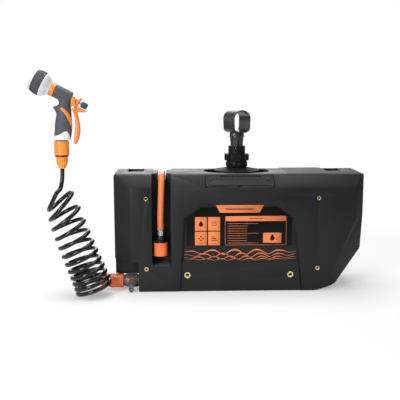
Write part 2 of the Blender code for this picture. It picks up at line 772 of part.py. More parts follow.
def fill_connector(orange, dark):
    """The quick connector on the filling hose, its mouth pointing down."""
    place = Matrix.Translation((FILL_X, FILL_Y, FILL_MOUTH_Z))
    bore = NIPPLE_RADIUS + SEAT
    core = SLEEVE_RADIUS - 0.0032
    top = FILL_END_Z - FILL_MOUTH_Z - SEAT
    turned("fill_sleeve",
           [(core + RUNNING, 0.0), (SLEEVE_RADIUS - 0.0010, 0.0), (SLEEVE_RADIUS, 0.0015),
            (SLEEVE_RADIUS, SLEEVE_LENGTH - 0.0015), (SLEEVE_RADIUS - 0.0010, SLEEVE_LENGTH),
            (core + RUNNING, SLEEVE_LENGTH)],
           22, orange, place)
    turned("fill_core",
           [(bore, 0.0008), (core, 0.0008), (core, SLEEVE_LENGTH + SLEEVE_TRAVEL + SEAT),
            (0.0095, SLEEVE_LENGTH + SLEEVE_TRAVEL + SEAT), (0.0095, SLEEVE_LENGTH + 0.0075),
            (0.0110, SLEEVE_LENGTH + 0.0085), (0.0095, SLEEVE_LENGTH + 0.0100),
            (0.0095, top), (0.0040, top), (0.0040, NIPPLE_LENGTH), (bore, NIPPLE_LENGTH)],
           18, dark, place)


# The outlet tap
def tap_frame():
    """The tap's axis: local Z runs out of the tank's wall, along -X."""
    return axis_frame((BAY_WALL_X, TAP_Y, TAP_Z), (-1, 0, 0))


def stem_frame():
    """The tap's stem: local Z runs to the viewer, along -Y."""
    return axis_frame((BAY_WALL_X - TAP_STEM_AT, TAP_Y, TAP_Z), (0, -1, 0))


def outlet_tap(grey, orange, dark, steel):
    """A ball tap: body, lock nut, ball, stem, indicator ring and lever."""
    r, bore, chamber = TAP_RADIUS, TAP_BORE, TAP_BALL_RADIUS + RUNNING
    mouth = math.sqrt(chamber**2 - bore**2)
    angles = np.linspace(-math.acos(mouth / chamber), math.acos(mouth / chamber) - math.pi, 7)
    hollow = [(-chamber * math.sin(a), TAP_STEM_AT + chamber * math.cos(a)) for a in angles]
    length = TAP_BODY_LENGTH
    nipple = length + SEAT + NIPPLE_LENGTH
    body = turned("tap_body",
                  [(bore, -0.016), (TAP_THREAD_RADIUS, -0.016), (TAP_THREAD_RADIUS, SEAT),
                   (0.0145, SEAT), (0.0145, 0.0035), (r, 0.0055), (r, length - 0.008),
                   (0.0130, length), (NIPPLE_RADIUS, length), (NIPPLE_RADIUS, nipple),
                   (bore, nipple), *hollow],
                  20, grey, tap_frame())
    combine(body, rod("tap_boss", TAP_BOSS_RADIUS, chamber + 0.003, TAP_BOSS_REACH, 20, grey,
                      stem_frame()), "UNION")
    combine(body, rod("tap_stem_hole", TAP_STEM_RADIUS + RUNNING, 0.4 * TAP_BALL_RADIUS,
                      TAP_BOSS_REACH + WALL, 16, None, stem_frame()))
    hex_ring("tap_lock_nut", TAP_THREAD_RADIUS + SEAT, TAP_NUT_APOTHEM, -0.0105, -WALL - SEAT,
             dark, tap_frame())
    angles = np.linspace(math.asin(bore / TAP_BALL_RADIUS),
                         math.pi - math.asin(bore / TAP_BALL_RADIUS), 5)
    ball = [(TAP_BALL_RADIUS * math.sin(a), TAP_BALL_RADIUS * math.cos(a)) for a in angles]
    turned("tap_ball", ball, 16, steel,
           Matrix.Translation((BAY_WALL_X - TAP_STEM_AT, TAP_Y, TAP_Z)))
    ring_top = TAP_BOSS_REACH + SEAT + 0.0024
    rod("tap_stem", TAP_STEM_RADIUS, TAP_BALL_RADIUS + SEAT, ring_top, 16, steel, stem_frame())
    turned("tap_ring",
           [(TAP_STEM_RADIUS + SEAT, TAP_BOSS_REACH + SEAT), (0.0100, TAP_BOSS_REACH + SEAT),
            (0.0100, ring_top), (TAP_STEM_RADIUS + SEAT, ring_top)],
           20, orange, stem_frame())
    tap_handle(grey, ring_top + SEAT)


def tap_handle(mat, start):
    """The lever: a round hub and a paddle that slants out and hangs down when shut."""
    hub = rod("tap_handle", 0.0088, start, start + 0.0065, 24, mat, stem_frame())
    half = LEVER_WIDTH / 2
    paddle = [(-half, 0.0), (half, 0.0)]
    paddle += arc((0, LEVER_LENGTH - half), half, 0, 180, 8)
    root = Vector((BAY_WALL_X - TAP_STEM_AT, TAP_Y - start - 0.0030, TAP_Z))
    along = Vector((0, -math.sin(LEVER_SLANT), -math.cos(LEVER_SLANT)))
    across = Vector((1, 0, 0))
    turn = Matrix((across, along, across.cross(along))).transposed().to_4x4()
    place = Matrix.Translation(root) @ turn
    combine(hub, prism("lever_tool", paddle, -LEVER_THICKNESS / 2, LEVER_THICKNESS / 2,
                       mat, place), "UNION")
    combine(hub, rod("lever_hole", 0.0018, -WALL, WALL, 12, None,
                     place @ Matrix.Translation((0, LEVER_LENGTH - half, 0))))


# The filler cap and the gun holder that stands on it
def cap_levels():
    """Heights of the stack on the filler neck, from the gasket up to the post's foot."""
    cap = TANK_HEIGHT + SEAT
    ring = cap + CAP_RISE + SEAT
    nut = ring + HOLDER_RING_HEIGHT + SEAT
    socket = nut + HOLDER_NUT_HEIGHT + SEAT
    post = socket + SOCKET_HEIGHT
    return cap, ring, nut, socket, post


def filler_cap(rubber, mat):
    """The neck's gasket and the screw cap with its hollow plug and threaded stub."""
    cap, ring, nut, socket, _ = cap_levels()
    place = Matrix.Translation((0, AXIS_Y, 0))
    plug = MOUTH_RADIUS - RUNNING
    low = TANK_HEIGHT - GASKET_THICKNESS
    turned("filler_gasket",
           [(plug + RUNNING, low), (NECK_RADIUS, low), (NECK_RADIUS, TANK_HEIGHT),
            (plug + RUNNING, TANK_HEIGHT)],
           32, rubber, place)
    under = cap + CAP_WALL
    stub_floor = cap + CAP_RISE - CAP_WALL / 2
    turned("filler_cap",
           [(0, under), (plug - CAP_WALL, under), (plug - CAP_WALL, cap - CAP_PLUG_DEPTH),
            (plug, cap - CAP_PLUG_DEPTH), (plug, cap), (CAP_RADIUS, cap),
            (CAP_RADIUS, cap + 0.6 * CAP_RIM), (CAP_RADIUS - 0.0015, cap + CAP_RIM),
            (CAP_BOSS_RADIUS, cap + CAP_RISE), (STUB_RADIUS, cap + CAP_RISE),
            (STUB_RADIUS, socket - 0.001), (STUB_BORE, socket - 0.001),
            (STUB_BORE, stub_floor), (0, stub_floor)],
           32, mat, place)


def scalloped_ring(name, low, height, inner, outer, lobes, depth, mat, place):
    """A bulging ring with finger scallops and a round bore."""
    count = 4 * lobes
    rings = [circle(inner, low, count), circle(outer - 0.0015, low, count),
             circle(outer, low + 0.25 * height, count, lobes, depth),
             circle(outer, low + 0.65 * height, count, lobes, depth),
             circle(outer - 0.0020, low + height, count), circle(inner, low + height, count)]
    return loft(name, rings, mat, place, closed=True)


def lugged_ring(name, low, height, inner, core, lug, lugs, mat, place):
    """A nut with square lugs and a round bore."""
    count = 4 * lugs
    toothed = []
    for i in range(count):
        radius = lug if i % 4 in (1, 2) else core
        shift = {0: 0.30, 1: -0.55, 2: 0.55, 3: -0.30}[i % 4]
        angle = math.tau * (i + 0.5 + shift) / count
        toothed.append((radius * math.cos(angle), radius * math.sin(angle)))
    rings = [circle(inner, low, count), [(x, y, low) for x, y in toothed],
             [(x, y, low + height) for x, y in toothed], circle(inner, low + height, count)]
    return loft(name, rings, mat, place, smooth=20, closed=True)


def gun_holder(mat):
    """The ring, nut and socket on the cap's stub, and the post with the gun's loop."""
    _, ring, nut, socket, post = cap_levels()
    place = Matrix.Translation((0, AXIS_Y, 0))
    scalloped_ring("holder_ring", ring, HOLDER_RING_HEIGHT, STUB_RADIUS + RUNNING,
                   HOLDER_RING_RADIUS, 10, 0.0010, mat, place)
    lugged_ring("holder_nut", nut, HOLDER_NUT_HEIGHT, STUB_RADIUS + RUNNING,
                HOLDER_NUT_RADIUS, HOLDER_NUT_LUG, 6, mat, place)
    floor = socket + 0.25 * SOCKET_HEIGHT
    tail = STUB_BORE - RUNNING
    cup = turned("holder_socket",
                 [(0, socket - 0.020), (tail, socket - 0.020), (tail, socket),
                  (SOCKET_RADIUS, socket), (SOCKET_RADIUS, post), (SOCKET_BORE, post),
                  (SOCKET_BORE, floor), (0, floor)],
                 22, mat, place)
    turn = place @ Matrix.Rotation(LOOP_TURN - math.radians(45), 4, "Z")
    slot = block("socket_slot", (-0.0012, -SOCKET_RADIUS - WALL, floor + 0.002),
                 (0.0012, -SOCKET_BORE + WALL, post + WALL))
    slot.matrix_world = turn
    combine(cup, slot)
    latch = axis_frame((0, AXIS_Y, post - 0.0055), (-0.30, -1.0, 0))
    combine(cup, rod("socket_latch_hole", 0.0018, SOCKET_BORE - WALL, SOCKET_RADIUS + WALL, 12,
                     None, latch))
    holder_loop(mat, floor + SEAT, post, place)


def holder_loop(mat, foot, socket_top, place):
    """The post's fluted taper with its thin fin, and the arched band on top."""
    lobes = 8
    count = 4 * lobes
    spigot = SOCKET_BORE - RUNNING
    start, top = socket_top + SEAT, socket_top + SEAT + POST_HEIGHT
    post = loft("holder_loop",
                [circle(spigot, foot, count), circle(spigot, start - 0.001, count),
                 circle(POST_FOOT_RADIUS, start, count, lobes, 0.0009),
                 circle(POST_TOP_RADIUS, top - 0.003, count, lobes, 0.0009),
                 circle(POST_TOP_RADIUS - 0.003, top + LOOP_BAND / 2, count)],
                mat, place)
    fin = start + 0.70 * POST_HEIGHT
    combine(post, rod("post_fin", POST_FIN_RADIUS, fin, fin + 0.0016, 24, mat, place), "UNION")
    half = LOOP_WIDTH / 2
    shoulder = 0.63 * LOOP_HEIGHT
    crown = [(half * math.cos(a), shoulder + (LOOP_HEIGHT - shoulder) * math.sin(a))
             for a in np.linspace(0, math.pi, 13)]
    outline = [(-0.46 * half, 0.0), (0.46 * half, 0.0), (0.86 * half, 0.08 * LOOP_HEIGHT),
               (0.97 * half, 0.22 * LOOP_HEIGHT), *crown,
               (-0.97 * half, 0.22 * LOOP_HEIGHT), (-0.86 * half, 0.08 * LOOP_HEIGHT)]
    stand = (Matrix.Translation((0, AXIS_Y, top - 0.001))
             @ Matrix.Rotation(LOOP_TURN, 4, "Z") @ front_frame())
    deep = LOOP_DEPTH / 2
    band = prism("loop_tool", outline, -deep, deep, mat, stand)
    combine(band, prism("loop_hole", offset(outline, LOOP_BAND), -deep - WALL, deep + WALL,
                        None, stand))
    combine(post, band, "UNION")


# The coiled hose: a right-handed helix about a path that leans to the left as it climbs
def coil_point(turn):
    """A point of the coil's centreline, counted in turns from the left end of the top loop."""
    up = (COIL_TURNS - turn) / COIL_TURNS
    lean = math.radians(COIL_LEAN + 6 * up + COIL_CURL * max(up, 0) ** 6.5)
    radius = COIL_RADIUS - COIL_TAPER * up
    centre = Vector((COIL_X - 0.0363 * up - 0.0563 * up**2 + 0.0099 * up**3,
                     COIL_Y + 0.027 * up**2,
                     COIL_FOOT_Z + 0.1206 * up + 0.0631 * up**2 + 0.0333 * up**3))
    across = Vector((math.cos(lean), 0, math.sin(lean)))
    angle = math.pi - math.tau * turn
    return centre + radius * (across * math.cos(angle) + Vector((0, 1, 0)) * math.sin(angle))


def gun_lead(start):
    """The hose's own points from the gun's connector towards the front of the top loop."""
    return [(GUN_X, GUN_Y, start), (GUN_X, GUN_Y, start - 0.011), (GUN_X, GUN_Y, start - 0.022),
            (-0.4209, -0.0965, 0.2850), (-0.4222, -0.1010, 0.2712),
            (-0.4250, -0.1080, 0.2590)]


def tap_lead(end):
    """The hose's own points from the foot of the coil to the tap's connector."""
    return [(-0.3905, -0.0780, 0.0072), (-0.3860, -0.0665, 0.0102),
            (-0.3785, -0.0570, 0.0140), (-0.3690, -0.0512, 0.0185),
            (-0.3590, TAP_Y, TAP_Z), (-0.3500, TAP_Y, TAP_Z), (end, TAP_Y, TAP_Z)]


def straight_end(point, beyond):
    """Two points that bring a lead square up to the coil's end face."""
    along = (Vector(beyond) - Vector(point)).normalized()
    run = 1.8 * HOSE_RADIUS
    return [tuple(Vector(point) - along * run), tuple(Vector(point) - along * SEAT)]


def least_gap(points, radius, apart):
    """The least gap between stretches of a hose that lie further apart along it."""
    points = np.array(points)
    along = np.concatenate([[0], np.cumsum(np.linalg.norm(np.diff(points, axis=0), axis=1))])
    reach = np.linalg.norm(points[:, None] - points[None], axis=2)
    reach[np.abs(along[:, None] - along[None]) < apart] = np.inf
    return reach.min() - 2 * radius, along[-1]


def coil_hose(mat, gun_end, tap_end):
    """The hose: a lead from the gun's connector, the coil, and a lead to the tap's connector."""
    steps = round((COIL_TURNS + COIL_LEAD) * COIL_STEPS)
    coil = [tuple(coil_point(i / COIL_STEPS - COIL_LEAD)) for i in range(steps + 1)]
    down = gun_lead(gun_end) + straight_end(coil[0], coil[1])
    tail = straight_end(coil[-1], coil[-2])[::-1] + tap_lead(tap_end)
    down = [tuple(point) for point in smooth_route(down, 12)]
    tail = [tuple(point) for point in smooth_route(tail, 14)]
    gap, length = least_gap([*down, *coil, *tail], HOSE_RADIUS, 0.06)
    print(f"coil hose: {length:.3f} m long, least gap to itself {gap * 1000:.2f} mm")
    tube("hose_lead_gun", down, HOSE_RADIUS, mat, 2)
    tube("coil_hose", coil, HOSE_RADIUS, mat, 1)
    tube("hose_lead_tap", tail, HOSE_RADIUS, mat, 2)


# The spray gun
def barrel_frame():
    """The barrel's axis: local Z runs forwards from the front end of the body."""
    x, z = BARREL_FRONT
    return axis_frame((x, GUN_Y, z), (-math.cos(BARREL_TILT), 0, math.sin(BARREL_TILT)))


# Slices of the grip from the collar to the barrel: height, left edge, right edge, half depth
GRIP_SLICES = (
    (0.0000, -0.4382, -0.3990, 1.03), (0.0082, -0.4368, -0.3972, 1.00),
    (0.0202, -0.4355, -0.3952, 1.00), (0.0342, -0.4346, -0.3940, 1.01),
    (0.0482, -0.4325, -0.3950, 1.00), (0.0592, -0.4303, -0.3955, 0.97),
    (0.0672, -0.4330, -0.3957, 0.94), (0.0727, -0.4368, -0.3957, 0.93),
    (0.0767, -0.4372, -0.3957, 0.92), (0.0792, -0.4300, -0.3957, 0.91),
    (0.0832, -0.4240, -0.3957, 0.90), (0.0912, -0.4250, -0.3957, 0.87),
    (0.0982, -0.4260, -0.3965, 0.80),
)
# The edge between the grip and the silver collar, and the orange inlay, in X and Z
WAVE = ((-0.4450, 0.3815), (-0.4303, 0.3842), (-0.4199, 0.3879), (-0.4123, 0.3923),
        (-0.4071, 0.3945), (-0.4034, 0.3930), (-0.4006, 0.3871), (-0.3971, 0.3789),
        (-0.3900, 0.3770))
INLAY = ((-0.4207, 0.4470), (-0.4124, 0.4389), (-0.4053, 0.4286), (-0.3998, 0.4167),
         (-0.3964, 0.4064), (-0.3952, 0.3985), (-0.3890, 0.4010), (-0.3900, 0.4108),
         (-0.3958, 0.4256), (-0.4007, 0.4359), (-0.4079, 0.4440), (-0.4151, 0.4492))
TRIGGER = ((-0.3887, 0.3635), (-0.3826, 0.3684), (-0.3778, 0.3811), (-0.3754, 0.3989),
           (-0.3770, 0.4182), (-0.3806, 0.4340), (-0.3790, 0.4370), (-0.3645, 0.4350),
           (-0.3618, 0.4412), (-0.3722, 0.4466), (-0.3785, 0.4512), (-0.3797, 0.4560),
           (-0.3777, 0.4592), (-0.3692, 0.4672), (-0.3722, 0.4716), (-0.3800, 0.4648),
           (-0.3838, 0.4695),
           (-0.3915, 0.4625), (-0.3932, 0.4535), (-0.3930, 0.4470), (-0.3916, 0.4389),
           (-0.3884, 0.4256), (-0.3870, 0.4078), (-0.3903, 0.3841), (-0.3915, 0.3684))
YOKE = ((-0.3953, 0.4440), (-0.3893, 0.4410), (-0.3842, 0.4450), (-0.3836, 0.4560),
        (-0.3862, 0.4660), (-0.3893, 0.4745), (-0.3953, 0.4690))


def grip_form(name, mat, swell=0.0):
    """The grip as rounded slices of differing width; the hook stands out at the top."""
    rings = []
    for height, left, right, share in GRIP_SLICES:
        middle, half = (left + right) / 2, (right - left) / 2 + swell
        deep = GRIP_HALF_DEPTH * share + swell
        ring = []
        for i in range(GRIP_SIDES):
            a = math.tau * (i + 0.5) / GRIP_SIDES
            c, s = math.cos(a), math.sin(a)
            ring.append((middle + half * math.copysign(abs(c) ** 0.8, c),
                         GUN_Y + deep * math.copysign(abs(s) ** 0.8, s),
                         GUN_COLLAR_Z + height))
        rings.append(ring)
    return loft(name, rings, mat, smooth=40)


def below_wave(name, shift):
    """The space below the wavy edge of the collar."""
    outline = [(x, z + shift) for x, z in WAVE]
    outline += [(WAVE[-1][0], GUN_COLLAR_Z - WALL), (WAVE[0][0], GUN_COLLAR_Z - WALL)]
    return front_prism(name, outline, GUN_Y - 2 * GRIP_HALF_DEPTH, GUN_Y + 2 * GRIP_HALF_DEPTH)


def gun_bores():
    """The nipple's bore, the water way and the valve's bore inside the gun."""
    upright = Matrix.Translation((GUN_X, GUN_Y, 0))
    nipple = rod("nipple_bore", 0.0100 + SEAT, GUN_COLLAR_Z - WALL, GUN_COLLAR_Z + 0.0105, 20,
                 None, upright)
    way = rod("water_way", 0.0040, GUN_COLLAR_Z + 0.010, BARREL_FRONT[1] - 0.008, 12, None,
              upright)
    valve = rod("valve_bore", 0.0080, -0.0300, WALL, 20, None, barrel_frame())
    guide = rod("stem_guide", STEM_RADIUS + RUNNING, -BARREL_LENGTH - 2 * WALL, -0.029, 14,
                None, barrel_frame())
    return nipple, way, valve, guide


def gun_body(mat, orange, silver):
    """The soft-covered body, its orange inlay and the silver collar under the grip."""
    deep = 2 * GRIP_HALF_DEPTH
    body = grip_form("gun_body", mat)
    nipple, way, valve, guide = gun_bores()
    combine(body, rod("barrel_tool", BARREL_RADIUS, -BARREL_LENGTH, -SEAT, 24, mat,
                      barrel_frame()), "UNION")
    combine(body, below_wave("wave_above", SEAT))
    groove = front_prism("inlay_groove", offset(INLAY, -SEAT), GUN_Y - deep, GUN_Y + deep)
    combine(body, groove)
    for tool in (nipple, way, valve, guide):
        combine(body, tool)
    inlay = grip_form("gun_inlay", orange, 0.0004)
    combine(inlay, front_prism("inlay_tool", INLAY, GUN_Y - deep, GUN_Y + deep), "INTERSECT")
    collar = grip_form("gun_collar", silver, 0.0005)
    combine(collar, below_wave("wave_below", 0.0), "INTERSECT")
    combine(collar, nipple)


def gun_valve(steel, dark, rubber):
    """The nipple, the valve's stem with its seal, and the spring that shuts it."""
    upright = Matrix.Translation((GUN_X, GUN_Y, 0))
    face = GUN_CONNECTOR_Z
    turned("gun_nipple",
           [(0.0045, face - NIPPLE_LENGTH), (NIPPLE_RADIUS, face - NIPPLE_LENGTH),
            (NIPPLE_RADIUS, face + SEAT), (0.0142, face + SEAT),
            (0.0142, GUN_COLLAR_Z - SEAT), (0.0100, GUN_COLLAR_Z - SEAT),
            (0.0100, GUN_COLLAR_Z + 0.0098), (0.0045, GUN_COLLAR_Z + 0.0098)],
           20, dark, upright)
    place = barrel_frame()
    turned("valve_stem",
           [(0, -0.0665), (STEM_RADIUS, -0.0665), (STEM_RADIUS, -0.0080), (0.0045, -0.0080),
            (0.0045, -0.0040), (0, -0.0040)],
           16, steel, place)
    turned("valve_seal",
           [(0.0045 + SEAT, -0.0078), (0.0080 - RUNNING, -0.0078),
            (0.0080 - RUNNING, -0.0045), (0.0045 + SEAT, -0.0045)],
           20, rubber, place)
    turns, steps, wire = 4, 6, 0.0006
    points = []
    for i in range(turns * steps + 1):
        a = math.tau * i / steps
        drop = -0.0105 - (0.0300 - 0.0105 - 2 * wire - SEAT) * i / (turns * steps)
        points.append(place @ Vector((0.0060 * math.cos(a), 0.0060 * math.sin(a), drop)))
    tube("valve_spring", points, wire, steel, 1)


def gun_head(dark, orange, silver, face_mat):
    """The orange ring, silver cone, pattern dial and its drilled face."""
    place = barrel_frame()
    ring = RING_LENGTH
    cone = ring + CONE_LENGTH
    turned("gun_ring",
           [(0.0110, SEAT), (0.0152, SEAT), (0.0163, 0.0015), (0.0163, ring - 0.0015),
            (0.0152, ring), (0.0110, ring)],
           20, orange, place)
    turned("gun_cone",
           [(0.0110, ring + SEAT), (0.0153, ring + SEAT), (0.0168, ring + 0.25 * CONE_LENGTH),
            (0.0208, ring + 0.52 * CONE_LENGTH), (0.0256, ring + 0.80 * CONE_LENGTH),
            (0.0283, cone), (0.0240, cone), (0.0140, ring + 0.40 * CONE_LENGTH)],
           24, silver, place)
    back = cone + SEAT
    count, lobes = 48, 12
    half = FACE_RADIUS + SEAT
    front = back + DIAL_LENGTH
    rings = [circle(half, front - 0.0030, count), circle(half, front, count),
             circle(half + 0.0012, front, count),
             circle(half + 0.0035, front - 0.0025, count, lobes, 0.0004),
             circle(DIAL_RADIUS - 0.0015, back + 0.62 * DIAL_LENGTH, count, lobes, 0.0007),
             circle(DIAL_RADIUS, back + 0.30 * DIAL_LENGTH, count, lobes, 0.0007),
             circle(DIAL_RADIUS - 0.0006, back, count)]
    loft("gun_dial", rings, dark, place)
    face = rod("gun_dial_face", FACE_RADIUS, front - 0.0027, front - 0.0005, 24, face_mat, place)
    for i in range(8):
        a = math.tau * i / 8
        hole = rod(f"spray_hole_{i}", 0.0020, front - 0.005, front + WALL, 8, None,
                   place @ Matrix.Translation((0.0145 * math.cos(a), 0.0145 * math.sin(a), 0)))
        combine(face, hole)


def gun_trigger(orange, dark, steel):
    """The fork-headed trigger on its pin, the yoke that carries it and the flow knob."""
    upright = axis_frame((PIVOT_X, GUN_Y, PIVOT_Z), (0, -1, 0))
    thick = TRIGGER_THICKNESS / 2
    trigger = front_prism("trigger", TRIGGER, GUN_Y - thick, GUN_Y + thick, orange)
    combine(trigger, rod("trigger_bore", PIVOT_RADIUS + RUNNING, -WALL - thick, WALL + thick,
                         16, None, upright))
    slot = block("fork_slot", (-0.0075, -0.0034, -0.0660), (0.0062, 0.0034, -0.0400))
    slot.matrix_world = barrel_frame() @ Matrix.Rotation(math.pi / 2, 4, "Z")
    combine(trigger, slot)
    cheek = thick + 0.0005
    wide = cheek + 0.0028
    yoke = front_prism("gun_yoke", YOKE, GUN_Y - wide, GUN_Y + wide, orange)
    combine(yoke, block("yoke_slot", (YOKE[0][0] + 0.0010, GUN_Y - cheek, PIVOT_Z - 0.03),
                        (PIVOT_X + 0.03, GUN_Y + cheek, PIVOT_Z + 0.05)))
    combine(yoke, rod("yoke_bore", PIVOT_RADIUS + SEAT, -WALL - wide, WALL + wide, 16, None,
                      upright))
    combine(yoke, rod("yoke_guide", STEM_RADIUS + RUNNING, -0.060, -0.030, 14, None,
                      barrel_frame()))
    turned("trigger_pin",
           [(0, -wide), (PIVOT_RADIUS, -wide), (PIVOT_RADIUS, wide + SEAT),
            (0.0036, wide + SEAT), (0.0030, wide + 0.0012), (0, wide + 0.0012)],
           16, steel, upright)
    start = -0.0668
    count, lobes = 32, 8
    loft("flow_knob",
         [circle(KNOB_RADIUS - 0.0020, start, count), circle(KNOB_RADIUS, start - 0.002, count,
                                                            lobes, 0.0005),
          circle(KNOB_RADIUS, start - KNOB_LENGTH + 0.002, count, lobes, 0.0005),
          circle(KNOB_RADIUS - 0.0015, start - KNOB_LENGTH, count)],
         dark, barrel_frame())


def build():
    """Make every piece."""
    clear_scene()
    black = finish("tank_black", (0.022, 0.022, 0.024), 0.55)
    cover = finish("cover_grey", (0.035, 0.036, 0.040), 0.50)
    glossy = finish("label_gloss", (0.010, 0.010, 0.011), 0.25)
    orange = finish("orange_plastic", (0.85, 0.18, 0.03), 0.35)
    amber = finish("gun_orange", (0.90, 0.27, 0.04), 0.35)
    hose_orange = finish("hose_orange", (0.87, 0.20, 0.05), 0.45)
    hose_black = finish("hose_black", (0.012, 0.012, 0.012), 0.20)
    grey = finish("tap_grey", (0.055, 0.057, 0.062), 0.45)
    dark = finish("dark_plastic", (0.020, 0.020, 0.022), 0.40)
    grip = finish("grip_grey", (0.060, 0.070, 0.078), 0.60)
    silver = finish("silver_plastic", (0.72, 0.73, 0.75), 0.30)
    brass = finish("brass", (0.80, 0.60, 0.25), 0.30, 1.0)
    steel = finish("steel", (0.75, 0.75, 0.76), 0.25, 1.0)
    rubber = finish("rubber_black", (0.015, 0.015, 0.015), 0.80)

    tank_shell(black)
    top_plate(cover, dark)
    label_plate(glossy)
    brass_inserts(brass)
    filling_hose(hose_orange, steel, dark)
    fill_connector(orange, dark)
    outlet_tap(grey, orange, dark, steel)
    filler_cap(rubber, dark)
    gun_holder(dark)

    gun_place = axis_frame((GUN_X, GUN_Y, GUN_CONNECTOR_Z), (0, 0, -1))
    gun_end = connector("gun_connector", gun_place, amber, dark, HOSE_RADIUS)
    mouth = BAY_WALL_X - TAP_BODY_LENGTH - SEAT
    tap_place = axis_frame((mouth, TAP_Y, TAP_Z), (-1, 0, 0))
    tap_end = connector("tap_connector", tap_place, orange, dark, HOSE_RADIUS)
    coil_hose(hose_black, GUN_CONNECTOR_Z - gun_end, mouth - tap_end)

    gun_body(grip, amber, silver)
    gun_valve(steel, dark, rubber)
    gun_head(grip, amber, silver, steel)
    gun_trigger(amber, grip, steel)


build()
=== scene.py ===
"""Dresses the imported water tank: camera, light, hoses, softened skins, print and finishes."""
import json
import math

import bmesh
import bpy
import numpy as np
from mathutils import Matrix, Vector

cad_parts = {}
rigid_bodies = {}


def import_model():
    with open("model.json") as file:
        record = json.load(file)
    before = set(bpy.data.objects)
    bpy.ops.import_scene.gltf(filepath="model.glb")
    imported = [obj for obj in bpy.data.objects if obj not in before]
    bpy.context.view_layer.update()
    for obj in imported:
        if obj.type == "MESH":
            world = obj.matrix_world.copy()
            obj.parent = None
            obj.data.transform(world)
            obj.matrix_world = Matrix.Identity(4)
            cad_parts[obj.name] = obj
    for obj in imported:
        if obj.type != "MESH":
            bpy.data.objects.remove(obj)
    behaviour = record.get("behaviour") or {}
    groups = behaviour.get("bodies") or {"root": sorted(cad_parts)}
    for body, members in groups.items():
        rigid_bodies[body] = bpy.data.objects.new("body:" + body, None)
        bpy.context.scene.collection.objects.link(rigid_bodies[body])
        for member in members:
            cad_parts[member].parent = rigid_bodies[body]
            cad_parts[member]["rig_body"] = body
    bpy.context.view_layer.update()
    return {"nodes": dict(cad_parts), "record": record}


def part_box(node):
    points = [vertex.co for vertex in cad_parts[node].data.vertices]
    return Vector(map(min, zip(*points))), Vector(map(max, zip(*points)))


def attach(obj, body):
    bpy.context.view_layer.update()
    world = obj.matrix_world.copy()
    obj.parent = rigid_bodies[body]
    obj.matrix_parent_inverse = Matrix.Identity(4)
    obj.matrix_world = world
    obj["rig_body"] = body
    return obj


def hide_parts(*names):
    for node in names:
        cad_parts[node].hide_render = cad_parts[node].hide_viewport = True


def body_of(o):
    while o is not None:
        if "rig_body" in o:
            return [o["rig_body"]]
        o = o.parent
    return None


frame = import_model()
NODES = frame["nodes"]
SLOTS = {part["node"]: part["material_slot"] for part in frame["record"]["subparts"]}
TAU = 2 * math.pi
WHITE = (1, 1, 1, 1)

# The photograph's camera, worked out from the tank's edges
CAMERA_PLACE = (-0.152, -1.752, 0.488)
CAMERA_TURN = math.radians(1.93)
CAMERA_DOWN = math.radians(8.87)
CAMERA_LENS = 63.27
SENSOR = 36.0

# The tank's main sizes, as in the part's source
SEAT = 0.0003
TANK_HEIGHT = 0.287
FRONT_Y = -0.085
BAND_DEPTH = 0.030
BAND_HEIGHT = 0.031
RECESS_FACE_Y = -0.0765
LOW_FACE_Y = -0.080
LABEL_FACE_Y = -0.0780
AXIS_Y = 0.015
CAP_RISE = 0.009
HOLDER_RING_HEIGHT = 0.0170
HOLDER_NUT_HEIGHT = 0.0160

# The gun and the mouths of the three quick connectors
GUN_Y = -0.095
BARREL_START = (-0.4319, GUN_Y, 0.4872)
BARREL_OUT = (-math.cos(math.radians(27.5)), 0.0, math.sin(math.radians(27.5)))
DIAL_BACK = 0.0311
DIAL_FRONT = 0.0581
KNOB_START = -0.0668
TRIGGER_PIN = (-0.3893, GUN_Y, 0.4484)
GUN_MOUTH = (-0.4205, GUN_Y, 0.371)
TAP_MOUTH = (-0.2838, -0.05, 0.0215)
FILL_MOUTH = (-0.1915, -0.066, 0.0885)

# Hoses
HOSE_RADIUS = 0.0050
COIL_TURNS = 11
COIL_LEAD = 0.25
COIL_STEPS = 48
COIL_RADIUS = 0.041
COIL_TAPER = 0.003
COIL_FOOT = (-0.3507, -0.108, 0.0175)
COIL_CLIMB = ((-0.0363, 0.0, 0.1206), (-0.0563, 0.027, 0.0631), (0.0099, 0.0, 0.0333))
COIL_LEAN = 16
COIL_CURL = 31
FILL_RADIUS = 0.0075
GUN_LEAD = ((-0.4205, -0.095, 0.3232), (-0.4205, -0.095, 0.3122), (-0.4205, -0.095, 0.3012),
            (-0.4209, -0.0965, 0.2850), (-0.4222, -0.1010, 0.2712),
            (-0.4250, -0.1080, 0.2590))
TAP_LEAD = ((-0.3905, -0.0780, 0.0072), (-0.3860, -0.0665, 0.0102),
            (-0.3785, -0.0570, 0.0140), (-0.3690, -0.0512, 0.0185),
            (-0.3590, -0.050, 0.0215), (-0.3500, -0.050, 0.0215), (-0.3316, -0.050, 0.0215))
FILL_ROUTE = (
    (-0.1885, 0.064, 0.2003), (-0.1885, 0.064, 0.2150), (-0.1885, 0.064, 0.2350),
    (-0.1885, 0.064, 0.2530), (-0.1885, 0.0605, 0.2675), (-0.1885, 0.0505, 0.2777),
    (-0.1885, 0.0370, 0.2815), (-0.1885, 0.0120, 0.2815), (-0.1885, -0.0140, 0.2815),
    (-0.1885, -0.0385, 0.2815), (-0.1885, -0.0525, 0.2777), (-0.1890, -0.0625, 0.2675),
    (-0.1892, -0.0662, 0.2530), (-0.1902, -0.0668, 0.2250), (-0.1912, -0.0666, 0.1980),
    (-0.1919, -0.0661, 0.1760), (-0.1915, -0.066, 0.1590), (-0.1915, -0.066, 0.1387),
)


# Camera, light and ground
def put(name, data):
    """A new object with its data, in the scene."""
    obj = bpy.data.objects.new(name, data)
    bpy.context.scene.collection.objects.link(obj)
    return obj


